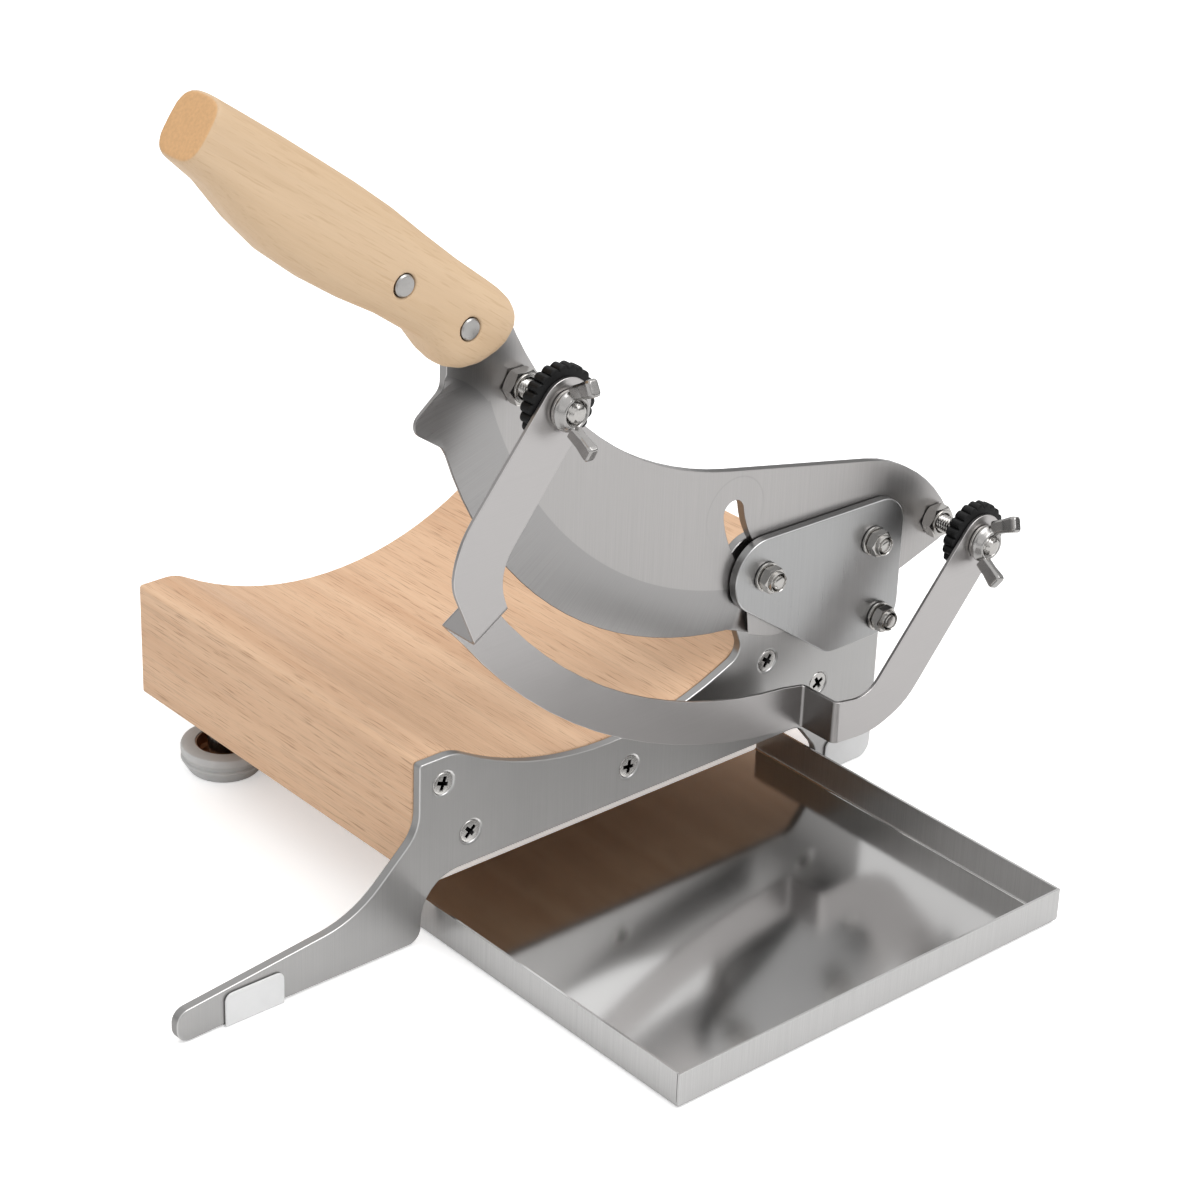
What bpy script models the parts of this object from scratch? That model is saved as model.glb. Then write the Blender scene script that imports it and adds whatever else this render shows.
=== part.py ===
"""Herb guillotine cutter: a curved steel knife on a wooden block, with a slice gauge and a catch tray.

Units are metres, +Z is up, +X runs to the hinge and +Y runs back along the wooden block.
The origin is on the table, under the pivot bolt, on the sole of the right foot pad.
The front plate's face is the plane Y = 0, and the knife shears down in front of it.
The knife is modelled raised. It turns on the pivot bolt and is drawn to the right as it falls.
"""

import math

import bmesh
import bpy
from mathutils import Matrix, Vector

# Fits
CLEARANCE = 0.0003
SEAT = 0.0002

# Wooden block and its dish, which the front plate follows
BLOCK_RIGHT = 0.0142
BLOCK_LENGTH = 0.1465
BLOCK_BOTTOM = 0.0224
BLOCK_EDGE = 0.0012
LAND_HEIGHT = 0.0625
DISH_INSET = 0.0760
DISH_RADIUS = 0.1146
DISH_BOTTOM = 0.0444
DISH_LIP = 0.0150

# Front plate
PLATE_THICKNESS = 0.0032
PLATE_BOTTOM = 0.0216
LOBE_RADIUS = 0.0120
LOBE_CORNER = 0.0110
WALL_FOOT = (-0.0512, 0.0640)
WALL_FILLET = 0.0055
DISH_END_X = -0.0589
TOE_REACH = 0.0880
TOE_HEIGHT = 0.0105
TOE_DROP = 0.0007
TOE_ROUND = 0.0045
LEG_SHOULDER = (-0.0234, 0.0181)
LEG_SHOULDER_ROUND = 0.036
LEG_RISE = 0.0398
LEG_RISE_ROUND = 0.014
ARCH_LEFT_INSET = 0.0010
ARCH_LEFT_ROUND = 0.0140
ARCH_RIGHT_INSET = 0.0262
ARCH_RIGHT_LEAN = 0.0088
ARCH_RIGHT_ROUND = 0.0070
FOOT_ROUND = 0.0045

# Foot pads under the front plate
PAD_FLOOR = 0.0006
PAD_HEIGHT = 0.0112
PAD_WIDTH = 0.0210
PAD_WALL = 0.0007
PAD_ROUND = 0.0026
LEFT_PAD_REACH = 0.0716
RIGHT_PAD_X = -0.0079

# Countersunk screws that hold the plate to the block: inset from the block's side, height
SCREW_PLACES_LEFT = ((0.0091, 0.0533), (0.0199, 0.0327), (0.0843, 0.0328))
SCREW_PLACES_RIGHT = ((0.0519, 0.0518), (0.0274, 0.0356))
SCREW_HEAD = 0.0080
SCREW_SHANK = 0.0040
SCREW_LENGTH = 0.0250
SCREW_CROSS = 0.0046
SCREW_CROSS_WIDTH = 0.0011
SCREW_CROSS_DEPTH = 0.0016

# Hinge bolts, their spacer bushes, washers and lock nuts
PIVOT = (0.0, 0.0874)
GUIDE_FROM_PIVOT = (-0.0480, 0.0012)
LOWER_FROM_PIVOT = (0.0052, -0.0292)
BOLT = 0.0050
BOLT_HEAD = 0.0092
BOLT_PROUD = 0.0005
BUSH = 0.0080
WASHER = 0.0100
WASHER_THICKNESS = 0.0010
LOCK_NUT_FLATS = 0.0080
LOCK_NUT_HEX = 0.0034
LOCK_NUT_COLLAR = 0.0014
LOCK_NUT_COLLAR_WIDTH = 0.0070

# Guard plate in front of the knife, from the pivot
GUARD_THICKNESS = 0.0032
GUARD_LEFT_ROUND = 0.0130
GUARD_TOP = 0.0131
GUARD_BOTTOM = -0.0364
GUARD_HEEL_X = -0.0172
GUARD_HEEL_ROUND = 0.0080
GUARD_RIGHT = 0.0142
GUARD_CORNER = 0.0105

# Knife blade, from the pivot
BLADE_THICKNESS = 0.0032
SPINE_LOWEST = (-0.03565, 0.0374)
SPINE_RADIUS = 0.12945
HUMP_CENTRE = (-0.0126, -0.0319)
HUMP_RADIUS = 0.0600
HUMP_END_ANGLE = 30.0
END_ROUND = 0.0065
LOWER_EDGE = ((0.0366, -0.0113), (0.0168, -0.0178))
LOWER_EDGE_ROUND = 0.030
BELLY = (-0.0385, -0.0252)
BELLY_ROUND = 0.030
EDGE_CENTRE = (-0.04324, 0.1194)
EDGE_RADIUS = 0.1378
EDGE_HEEL_ANGLE = 264.0
EDGE_SPUR_ANGLE = 199.0
SPUR_ROOT = (-0.1751, 0.0775)
SPUR_ROOT_ROUND = 0.005
SPUR_TIP = (-0.1877, 0.0862)
SPUR_TIP_ROUND = 0.0040
NECK_X = -0.1757
NECK_FOOT = 0.0960
NECK_FOOT_ROUND = 0.005
SPINE_NECK_ANGLE = 204.0

# Ground bevel on the blade's front
BEVEL_CENTRE = (-0.03283, 0.12889)
BEVEL_RADIUS = 0.1329
BEVEL_HEEL_ANGLE = 261.1
BEVEL_HEEL_EDGE_ANGLE = 267.8
BEVEL_RUNOUT_ANGLE = 200.0
BEVEL_RUNOUT = 0.155e-3
BEVEL_END_ANGLE = 190.5
BEVEL_END_EDGE_ANGLE = 188.4
BEVEL_STEPS = 40
BEVEL_REACH = 0.0200
EDGE_LAND = 0.0004
SPUR_LAND = 0.0015

# The knife's travel: turn, and the draw of the blade over the pivot bush
SWING_DEGREES = 38.0
DRAW_PER_RADIAN = 0.0360
DRAW_ANGLE = 13.6
SLOT_OVERRUN = 0.0006

# Handle, tang and rivets, from the pivot
TANG_RIVETS = ((-0.1733, 0.1165), (-0.1963, 0.1346))
TANG_WIDTH = 0.0160
TANG_PAST_RIVET = 0.0140
RIVET = 0.0065
RIVET_PROUD = 0.0002
HANDLE_BUTT = (-0.2587, 0.1893)
HANDLE_FALL = 35.3
HANDLE_THICKNESS = 0.0186
HANDLE_SQUARENESS = 3.2
HANDLE_ROUND_SIDES = 28
# Stations along the handle: distance from the butt, height above and below its line, share of thickness
HANDLE_STATIONS = (
    (0.0000, 0.0088, 0.0090, 0.95),
    (0.0008, 0.0095, 0.0098, 1.00),
    (0.0120, 0.0096, 0.0116, 1.00),
    (0.0260, 0.0097, 0.0162, 1.00),
    (0.0400, 0.0095, 0.0193, 1.00),
    (0.0550, 0.0092, 0.0203, 1.00),
    (0.0700, 0.0084, 0.0200, 1.00),
    (0.0850, 0.0067, 0.0188, 1.00),
    (0.1000, 0.0053, 0.0189, 1.00),
    (0.1080, 0.0049, 0.0217, 1.00),
    (0.1140, 0.0046, 0.0228, 1.00),
    (0.1190, 0.0042, 0.0213, 0.99),
    (0.1230, 0.0034, 0.0183, 0.97),
    (0.1258, 0.0018, 0.0140, 0.94),
    (0.1272, -0.0010, 0.0102, 0.90),
)

# Gauge studs and their nuts, from the pivot
STUDS = (("left", (-0.1502, 0.0920)), ("right", (0.0321, -0.0026)))
STUD = 0.0060
STUD_HEAD_FLATS = 0.0100
STUD_HEAD_DEPTH = 0.0040
STUD_PROUD = 0.0012
STUD_NUT_FLATS = 0.0100
STUD_NUT_DEPTH = 0.0048
KNURLED_NUT = 0.0250
KNURLED_NUT_DEPTH = 0.0048
KNURLED_NUT_LOBES = 22
KNURLED_NUT_LOBE_DEPTH = 0.0011
KNURLED_NUT_LOBE_FULLNESS = 0.6
POINTS_PER_LOBE = 4
GAUGE_WASHER = 0.0120
GAUGE_WASHER_THICKNESS = 0.0011
WING_HUB_BASE = 0.0128
WING_HUB_TOP = 0.0094
WING_HUB_DEPTH = 0.0033
WING_HUB_RIM = 0.0006
WING_THICKNESS = 0.0028
WING_WIDTH = 0.0042
WING_TIP = (0.0101, 0.0102)
WING_TIP_ROUND = 0.0010
WING_LEAN = 56.0
RIGHT_WING_TURN = -20.0

# Slice gauge, one bent strip, from the pivot
GAUGE_THICKNESS = 0.0012
GAUGE_BAR_GAP = 0.0057
GAUGE_OFFSET = 0.0152
BAR_UPPER_CENTRE = (-0.0249, 0.1318)
BAR_UPPER_RADIUS = 0.1731
BAR_LOWER_CENTRE = (-0.0178, 0.1400)
BAR_LOWER_RADIUS = 0.1978
LEFT_FOLD = ((-0.1817, 0.0271), (-0.1698, 0.0348))
RIGHT_FOLD = ((-0.0296, -0.0577), (-0.0296, -0.0427))
FOLD_INSET = 0.00005
ARM_END_ROUND = 0.0092
LEFT_ARM_OUTER = (-0.1899, 0.0465)
LEFT_ARM_ELBOW = (-0.1890, 0.0585)
LEFT_ARM_ELBOW_ROUND = 0.030
LEFT_ARM_INNER = (-0.1738, 0.0465)
LEFT_ARM_INNER_ROUND = 0.016
RIGHT_ARM_LOWER = ((-0.0130, -0.0590), (0.0020, -0.0530))
RIGHT_ARM_LOWER_ROUND = (0.030, 0.026)
RIGHT_ARM_INNER = (-0.0160, -0.0450)
RIGHT_ARM_INNER_ROUND = 0.012

# Rear feet, from the block's sides and back
REAR_FOOT_INSET = 0.0158
REAR_FOOT_FROM_BACK = 0.0244
REAR_FOOT_HEIGHT = 0.0096
REAR_FOOT_RIM = 0.0146
REAR_FOOT_SOLE = 0.0120
REAR_FOOT_WELL = 0.0099
REAR_FOOT_FLOOR = 0.0034
REAR_FOOT_RIM_DEPTH = 0.0030
REAR_FOOT_GROOVE = 0.0008
REAR_FOOT_GROOVE_WIDTH = 0.0020
REAR_FOOT_BEVEL = 0.0004
REAR_STEM = 0.0060
REAR_STEM_HEAD = 0.0110
REAR_STEM_IN_BLOCK = 0.0120

# Catch tray
TRAY_GAP = 0.0044
TRAY_RIGHT_GAP = 0.0036
TRAY_WIDTH = 0.1600
TRAY_LENGTH = 0.1365
TRAY_FRONT = -0.1126
TRAY_HEIGHT = 0.0122
TRAY_SHEET = 0.0008

# How far a cutter reaches past the face it opens, and the chamfer on bolt ends
CUT_OVER = 0.0010
CHAMFER = 0.0005

# Facets
ROUND_SIDES = 24
SMALL_SIDES = 16
SLOT_STEPS = 20
ARC_STEP = 6.0
LONG_ARC_STEP = 3.5
MERGE = 0.00001

# Colours and finishes: base colour, roughness, metallic
FINISHES = {
    "brushed_steel": ((0.42, 0.41, 0.40), 0.38, 1.0),
    "blade_steel": ((0.52, 0.51, 0.50), 0.30, 1.0),
    "bright_steel": ((0.62, 0.61, 0.60), 0.22, 1.0),
    "tray_steel": ((0.60, 0.60, 0.60), 0.12, 1.0),
    "block_wood": ((0.74, 0.50, 0.30), 0.62, 0.0),
    "handle_wood": ((0.82, 0.62, 0.38), 0.55, 0.0),
    "black_plastic": ((0.02, 0.02, 0.02), 0.50, 0.0),
    "clear_pad": ((0.76, 0.76, 0.76), 0.45, 0.0),
    "grey_rubber": ((0.55, 0.55, 0.54), 0.60, 0.0),
}

# The tray sets the width of the arch, and with it the block's left side, the toe and the dish
ARCH_RIGHT = BLOCK_RIGHT - ARCH_RIGHT_INSET
ARCH_LEFT = ARCH_RIGHT - TRAY_RIGHT_GAP - TRAY_WIDTH - TRAY_GAP
BLOCK_LEFT = ARCH_LEFT - ARCH_LEFT_INSET
LEFT_PAD_X = BLOCK_LEFT - LEFT_PAD_REACH
DISH_X = BLOCK_LEFT + DISH_INSET
SPINE_CENTRE = (SPINE_LOWEST[0], SPINE_LOWEST[1] + SPINE_RADIUS)
BLADE_BACK = -CLEARANCE
BLADE_FRONT = BLADE_BACK - BLADE_THICKNESS
BLADE_MIDDLE = (BLADE_BACK + BLADE_FRONT) / 2
GUARD_BACK = BLADE_FRONT - CLEARANCE
GUARD_FRONT = GUARD_BACK - GUARD_THICKNESS
BLOCK_FRONT = PLATE_THICKNESS + CLEARANCE
BLOCK_BACK = BLOCK_FRONT + BLOCK_LENGTH
DISH_CENTRE = (DISH_X, DISH_BOTTOM + DISH_RADIUS)
PLATE_FOOT = PAD_FLOOR + SEAT
SLOT = BUSH + 2 * CLEARANCE
BAR_BACK = BLADE_FRONT - GAUGE_BAR_GAP
BAR_FRONT = BAR_BACK - GAUGE_THICKNESS
ARM_BACK = BAR_BACK - GAUGE_OFFSET
ARM_FRONT = ARM_BACK - GAUGE_THICKNESS
FACE_FRONT = Matrix.Rotation(math.pi / 2, 4, "X")
UPRIGHT = Matrix.Identity(4)


def from_pivot(point):
    return (PIVOT[0] + point[0], PIVOT[1] + point[1])


def on_circle(centre, radius, degrees):
    turn = math.radians(degrees)
    return (centre[0] + radius * math.cos(turn), centre[1] + radius * math.sin(turn))


def arc(centre, radius, start, end, step=ARC_STEP):
    """Points along an arc, both ends included, the angles in degrees."""
    count = max(2, math.ceil(abs(end - start) / step))
    return [on_circle(centre, radius, start + (end - start) * i / count) for i in range(count + 1)]


def circle(centre, diameter, sides=ROUND_SIDES):
    return [on_circle(centre, diameter / 2, 360.0 * i / sides) for i in range(sides)]


def meeting(point_a, way_a, point_b, way_b):
    """The point where two lines cross, each given by a point and a direction."""
    cross = way_a[0] * way_b[1] - way_a[1] * way_b[0]
    gap = (point_b[0] - point_a[0], point_b[1] - point_a[1])
    along = (gap[0] * way_b[1] - gap[1] * way_b[0]) / cross
    return (point_a[0] + along * way_a[0], point_a[1] + along * way_a[1])


def touching(point, centre, radius, side):
    """Angle at which a line from an outside point touches a circle, on its left (1) or right (-1)."""
    away = (point[0] - centre[0], point[1] - centre[1])
    spread = math.degrees(math.acos(radius / math.hypot(*away)))
    return math.degrees(math.atan2(away[1], away[0])) + side * spread


def rounded(corners):
    """Closed outline through corners (x, z, radius), each corner rounded by an arc of its radius."""
    points = []
    count = len(corners)
    for i, (x, z, radius) in enumerate(corners):
        if radius <= 0:
            points.append((x, z))
            continue
        here = Vector((x, z))
        before = (Vector(corners[i - 1][:2]) - here).normalized()
        after = (Vector(corners[(i + 1) % count][:2]) - here).normalized()
        half = before.angle(after) / 2
        middle = here + (before + after).normalized() * radius / math.sin(half)
        first = here + before * radius / math.tan(half) - middle
        last = here + after * radius / math.tan(half) - middle
        start = math.degrees(math.atan2(first.y, first.x))
        turn = math.degrees(math.atan2(last.y, last.x)) - start
        turn = (turn + 180.0) % 360.0 - 180.0
        points += arc((middle.x, middle.y), radius, start, start + turn, max(ARC_STEP, abs(turn) / 8))
    return points


def corner(points, radius=0.0):
    """Corner points that share one radius, 0 for points that already lie on an arc."""
    return [(x, z, radius) for x, z in points]


def flipped(points):
    return points[::-1]


def new_collection(name):
    collection = bpy.data.collections.new(name)
    bpy.context.scene.collection.children.link(collection)
    return collection


def new_material(name):
    colour, roughness, metallic = FINISHES[name]
    material = bpy.data.materials.new(name)
    material.use_nodes = True
    shader = material.node_tree.nodes["Principled BSDF"]
    shader.inputs["Base Color"].default_value = (*colour, 1.0)
    shader.inputs["Roughness"].default_value = roughness
    shader.inputs["Metallic"].default_value = metallic
    material.diffuse_color = (*colour, 1.0)
    return material


def new_object(name, mesh, where):
    piece = bpy.data.objects.new(name, mesh)
    where.objects.link(piece)
    return piece


def finish(piece, material_name):
    material = bpy.data.materials.get(material_name) or new_material(material_name)
    piece.data.materials.clear()
    piece.data.materials.append(material)
    piece.data.shade_smooth()
    piece.data.set_sharp_from_angle(angle=math.radians(32))
    return piece


def evaluated_mesh(source):
    """A plain mesh of what an object's curve or modifiers make, in its own frame."""
    depsgraph = bpy.context.evaluated_depsgraph_get()
    mesh = bpy.data.meshes.new_from_object(source.evaluated_get(depsgraph), depsgraph=depsgraph)
    bm = bmesh.new()
    bm.from_mesh(mesh)
    bmesh.ops.remove_doubles(bm, verts=bm.verts, dist=MERGE)
    bmesh.ops.recalc_face_normals(bm, faces=bm.faces)
    bm.to_mesh(mesh)
    bm.free()
    return mesh


def plate(name, loops, low, high, where, placed=FACE_FRONT):
    """A flat piece from closed loops in its own plane, the first the outline and the rest holes.

    It is extruded from low to high along its own Z, then turned by the matrix it is placed with.
    """
    curve = bpy.data.curves.new(name, "CURVE")
    curve.dimensions = "2D"
    curve.fill_mode = "BOTH"
    curve.extrude = (high - low) / 2
    for loop in loops:
        spline = curve.splines.new("POLY")
        spline.points.add(len(loop) - 1)
        for point, (x, z) in zip(spline.points, loop):
            point.co = (x, z, 0.0, 1.0)
        spline.use_cyclic_u = True
    drawn = new_object(name + "_outline", curve, where)
    mesh = evaluated_mesh(drawn)
    bpy.data.objects.remove(drawn)
    bpy.data.curves.remove(curve)
    mesh.transform(Matrix.Translation((0.0, 0.0, (low + high) / 2)))
    piece = new_object(name, mesh, where)
    piece.matrix_world = placed
    return piece


def upright_plate(name, loops, front, back, where):
    """A plate that stands in the X-Z plane between two Y values."""
    return plate(name, loops, -back, -front, where)


def box(name, low, high, where):
    bm = bmesh.new()
    bmesh.ops.create_cube(bm, size=1.0)
    bmesh.ops.scale(bm, vec=[h - l for l, h in zip(low, high)], verts=bm.verts)
    mesh = bpy.data.meshes.new(name)
    bm.to_mesh(mesh)
    bm.free()
    piece = new_object(name, mesh, where)
    piece.location = [(l + h) / 2 for l, h in zip(low, high)]
    return piece


def turned(name, profile, where, sides=ROUND_SIDES):
    """A turned piece round its own Z from (radius, height) points, listed from top to bottom."""
    mesh = bpy.data.meshes.new(name)
    edges = [(i, i + 1) for i in range(len(profile) - 1)]
    if min(radius for radius, height in profile) > MERGE:
        edges.append((len(profile) - 1, 0))
    mesh.from_pydata([(radius, 0.0, height) for radius, height in profile], edges, [])
    drawn = new_object(name, mesh, where)
    screw = drawn.modifiers.new("turn", "SCREW")
    screw.steps = sides
    screw.render_steps = sides
    screw.use_merge_vertices = True
    screw.merge_threshold = MERGE
    drawn.data = evaluated_mesh(drawn)
    drawn.modifiers.clear()
    return drawn


def hexagon(flats):
    return [on_circle((0, 0), flats / 2 / math.cos(math.pi / 6), 60.0 * i + 30.0) for i in range(6)]


def prism(name, flats, low, high, where):
    """A hexagon bar standing on its own Z."""
    return plate(name, [hexagon(flats)], low, high, where, UPRIGHT)


def rod(name, radius, low, high, where):
    return turned(name, [(0.0, high), (radius, high), (radius, low), (0.0, low)], where, SMALL_SIDES)


def boolean(piece, tool, operation, where):
    """Cuts or joins a piece by a tool that stays in the file as a wire guide."""
    for collection in list(tool.users_collection):
        collection.objects.unlink(tool)
    where.objects.link(tool)
    tool.hide_render = True
    tool.display_type = "WIRE"
    modifier = piece.modifiers.new(tool.name, "BOOLEAN")
    modifier.operation = operation
    modifier.object = tool
    modifier.solver = "EXACT"
    return piece


def baked(piece):
    """Applies a piece's modifiers and removes the tools they used."""
    tools = [modifier.object for modifier in piece.modifiers]
    piece.data = evaluated_mesh(piece)
    piece.modifiers.clear()
    for tool in tools:
        bpy.data.objects.remove(tool)
    return piece


def lofted(name, rings, where):
    """A closed skin through rings of the same number of points, capped at both ends."""
    bm = bmesh.new()
    loops = [[bm.verts.new(point) for point in ring] for ring in rings]
    count = len(rings[0])
    for one, two in zip(loops, loops[1:]):
        for i in range(count):
            bm.faces.new((one[i], one[(i + 1) % count], two[(i + 1) % count], two[i]))
    bm.faces.new(loops[0])
    bm.faces.new(loops[-1])
    bmesh.ops.recalc_face_normals(bm, faces=bm.faces)
    mesh = bpy.data.meshes.new(name)
    bm.to_mesh(mesh)
    bm.free()
    return new_object(name, mesh, where)


def stand(piece, x, y, z):
    """Places a piece made round its own Z so that its Z points to the front, at (x, y, z)."""
    piece.matrix_world = Matrix.Translation((x, y, z)) @ FACE_FRONT
    return piece


def copy_of(master, name, where):
    return new_object(name, master.data, where)


def carry(parent, *pieces):
    """Parents pieces to a joint's empty and leaves them where they are."""
    bpy.context.view_layer.update()
    for piece in pieces:
        piece.parent = parent
        piece.matrix_parent_inverse = parent.matrix_world.inverted()


def joint_empty(name, place, where):
    empty = bpy.data.objects.new(name, None)
    empty.empty_display_size = 0.01
    empty.location = place
    where.objects.link(empty)
    bpy.context.view_layer.update()
    return empty


def swung(point, turn):
    """Where a bolt at this point lies in the raised knife's frame once the knife has turned so far."""
    draw = DRAW_PER_RADIAN * turn
    way = math.radians(DRAW_ANGLE)
    x = point[0] - PIVOT[0]
    z = point[1] - PIVOT[1]
    return (PIVOT[0] - draw * math.cos(way) + x * math.cos(turn) + z * math.sin(turn),
            PIVOT[1] - draw * math.sin(way) - x * math.sin(turn) + z * math.cos(turn))


def slot_outline(point, steps):
    """The slot in which a fixed bush at this point runs as the knife swings through its travel."""
    full = math.radians(SWING_DEGREES)
    path = [Vector(swung(point, full * i / steps)) for i in range(steps + 1)]
    first = (path[0] - path[1]).normalized()
    last = (path[-1] - path[-2]).normalized()
    path[0] = path[0] + first * SLOT_OVERRUN
    path[-1] = path[-1] + last * SLOT_OVERRUN
    left = []
    right = []
    for i, place in enumerate(path):
        way = (path[min(i + 1, steps)] - path[max(i - 1, 0)]).normalized()
        side = Vector((-way.y, way.x)) * SLOT / 2
        left.append(tuple(place + side))
        right.append(tuple(place - side))
    head = math.degrees(math.atan2(last.y, last.x))
    tail = math.degrees(math.atan2(first.y, first.x))
    far_end = arc(tuple(path[-1]), SLOT / 2, head + 90, head - 90, 15)[1:-1]
    near_end = arc(tuple(path[0]), SLOT / 2, tail + 90, tail - 90, 15)[1:-1]
    return left + far_end + flipped(right) + near_end


def dish_lip(side):
    """The rounding between the land and the dish: its centre, on the left (-1) or right (1)."""
    z = LAND_HEIGHT - DISH_LIP
    reach = math.sqrt((DISH_RADIUS + DISH_LIP) ** 2 - (DISH_CENTRE[1] - z) ** 2)
    return (DISH_X + side * reach, z)


def lip_points(side):
    """Points from the land over the lip to where the dish starts."""
    centre = dish_lip(side)
    toward = math.degrees(math.atan2(DISH_CENTRE[1] - centre[1], DISH_X - centre[0]))
    return arc(centre, DISH_LIP, 90.0, toward, ARC_STEP)


def dish_angle(point):
    return math.degrees(math.atan2(point[1] - DISH_CENTRE[1], point[0] - DISH_X)) % 360.0


def block_outline():
    left_lip = lip_points(-1)
    right_lip = lip_points(1)
    dish = arc(DISH_CENTRE, DISH_RADIUS, dish_angle(left_lip[-1]), dish_angle(right_lip[-1]), LONG_ARC_STEP)
    corners = [(BLOCK_LEFT, BLOCK_BOTTOM, BLOCK_EDGE), (BLOCK_LEFT, LAND_HEIGHT, BLOCK_EDGE)]
    corners += corner(left_lip + dish[1:-1] + flipped(right_lip))
    corners += [(BLOCK_RIGHT, LAND_HEIGHT, BLOCK_EDGE), (BLOCK_RIGHT, BLOCK_BOTTOM, BLOCK_EDGE)]
    return rounded(corners)


def front_plate_outline():
    guide = from_pivot(GUIDE_FROM_PIVOT)
    toe = BLOCK_LEFT - TOE_REACH
    lip = lip_points(-1)
    dish = arc(DISH_CENTRE, DISH_RADIUS, dish_angle(lip[-1]),
               270.0 + math.degrees(math.asin((DISH_END_X - DISH_X) / DISH_RADIUS)), LONG_ARC_STEP)
    leaving = math.radians(dish_angle(dish[-1]) + 90.0)
    touch = touching(WALL_FOOT, guide, LOBE_RADIUS, -1)
    wall_top = on_circle(guide, LOBE_RADIUS, touch)
    wall = (wall_top[0] - WALL_FOOT[0], wall_top[1] - WALL_FOOT[1])
    foot = meeting(dish[-1], (math.cos(leaving), math.sin(leaving)), WALL_FOOT, wall)
    top_right = (BLOCK_RIGHT, PIVOT[1] + LOBE_RADIUS)
    top = touching(top_right, guide, LOBE_RADIUS, 1)
    corners = [
        (LEFT_PAD_X, PLATE_FOOT, 0.0),
        (toe, PLATE_FOOT - TOE_DROP, TOE_ROUND),
        (toe, PLATE_FOOT - TOE_DROP + TOE_HEIGHT, TOE_ROUND),
        (BLOCK_LEFT + LEG_SHOULDER[0], LEG_SHOULDER[1], LEG_SHOULDER_ROUND),
        (BLOCK_LEFT, LEG_RISE, LEG_RISE_ROUND),
        (BLOCK_LEFT, LAND_HEIGHT, BLOCK_EDGE),
    ]
    corners += corner(lip + dish[1:])
    corners.append((*foot, WALL_FILLET))
    corners += corner(arc(guide, LOBE_RADIUS, touch % 360.0, top % 360.0))
    corners += [
        (*top_right, LOBE_CORNER),
        (BLOCK_RIGHT, PLATE_FOOT, FOOT_ROUND),
        (ARCH_RIGHT, PLATE_FOOT, PAD_ROUND),
        (ARCH_RIGHT, PLATE_BOTTOM / 2, ARCH_RIGHT_ROUND),
        (ARCH_RIGHT - ARCH_RIGHT_LEAN, PLATE_BOTTOM, ARCH_RIGHT_ROUND),
        (ARCH_LEFT, PLATE_BOTTOM, ARCH_LEFT_ROUND),
        (ARCH_LEFT, PLATE_FOOT, FOOT_ROUND),
    ]
    return rounded(corners)


def guard_outline():
    guide = from_pivot(GUIDE_FROM_PIVOT)
    right = PIVOT[0] + GUARD_RIGHT
    heel = (PIVOT[0] + GUARD_HEEL_X, PIVOT[1] + GUARD_BOTTOM)
    top_right = (right, PIVOT[1] + GUARD_TOP)
    top = touching(top_right, guide, GUARD_LEFT_ROUND, 1)
    bottom = touching(heel, guide, GUARD_LEFT_ROUND, -1)
    corners = corner(arc(guide, GUARD_LEFT_ROUND, bottom % 360.0, top % 360.0))
    corners += [
        (*top_right, GUARD_CORNER),
        (right, PIVOT[1] + GUARD_BOTTOM, GUARD_CORNER),
        (*heel, GUARD_HEEL_ROUND),
    ]
    return rounded(corners)


def blade_outline(grown=0.0):
    """The blade with its tang, clockwise from the tang's end; grown makes the handle's slot."""
    spine = from_pivot(SPINE_CENTRE)
    hump = from_pivot(HUMP_CENTRE)
    edge = from_pivot(EDGE_CENTRE)
    near, far = (Vector(from_pivot(place)) for place in TANG_RIVETS)
    along = (far - near).normalized()
    across = Vector((along.y, -along.x)) * (TANG_WIDTH / 2 + grown)
    end = far + along * (TANG_PAST_RIVET + grown)
    gap = Vector(hump) - Vector(spine)
    lean = math.degrees(math.acos((SPINE_RADIUS + HUMP_RADIUS) / gap.length))
    join = math.degrees(math.atan2(gap.y, gap.x)) - lean
    hump_end = on_circle(hump, HUMP_RADIUS + grown, HUMP_END_ANGLE)
    falling = math.radians(HUMP_END_ANGLE - 90.0)
    right, left = (from_pivot(place) for place in LOWER_EDGE)
    slope = (left[0] - right[0], left[1] - right[1])
    tip = meeting(hump_end, (math.cos(falling), math.sin(falling)), right, slope)
    spine_arc = arc(spine, SPINE_RADIUS - grown, SPINE_NECK_ANGLE, join % 360.0, LONG_ARC_STEP)
    neck = Vector(spine_arc[0])
    shoulder = end + across + along * (along.dot(neck - end) + TANG_WIDTH / 2)
    neck_x = PIVOT[0] + NECK_X - grown
    neck_top = meeting(tuple(near - across), tuple(along), (neck_x, 0.0), (0.0, 1.0))
    corners = [(*(end + across), 0.0), (*shoulder, 0.0)]
    corners += corner(spine_arc + arc(hump, HUMP_RADIUS + grown, join % 360.0 - 180.0, HUMP_END_ANGLE))
    corners += [
        (*tip, END_ROUND),
        (*left, LOWER_EDGE_ROUND),
        (*from_pivot(BELLY), BELLY_ROUND),
    ]
    corners += corner(arc(edge, EDGE_RADIUS, EDGE_HEEL_ANGLE, EDGE_SPUR_ANGLE, LONG_ARC_STEP))
    corners += [
        (*from_pivot(SPUR_ROOT), SPUR_ROOT_ROUND),
        (*from_pivot(SPUR_TIP), SPUR_TIP_ROUND),
        (neck_x, PIVOT[1] + NECK_FOOT, NECK_FOOT_ROUND),
        (*neck_top, 0.0),
        (*(end - across), 0.0),
    ]
    return rounded(corners)


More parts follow.
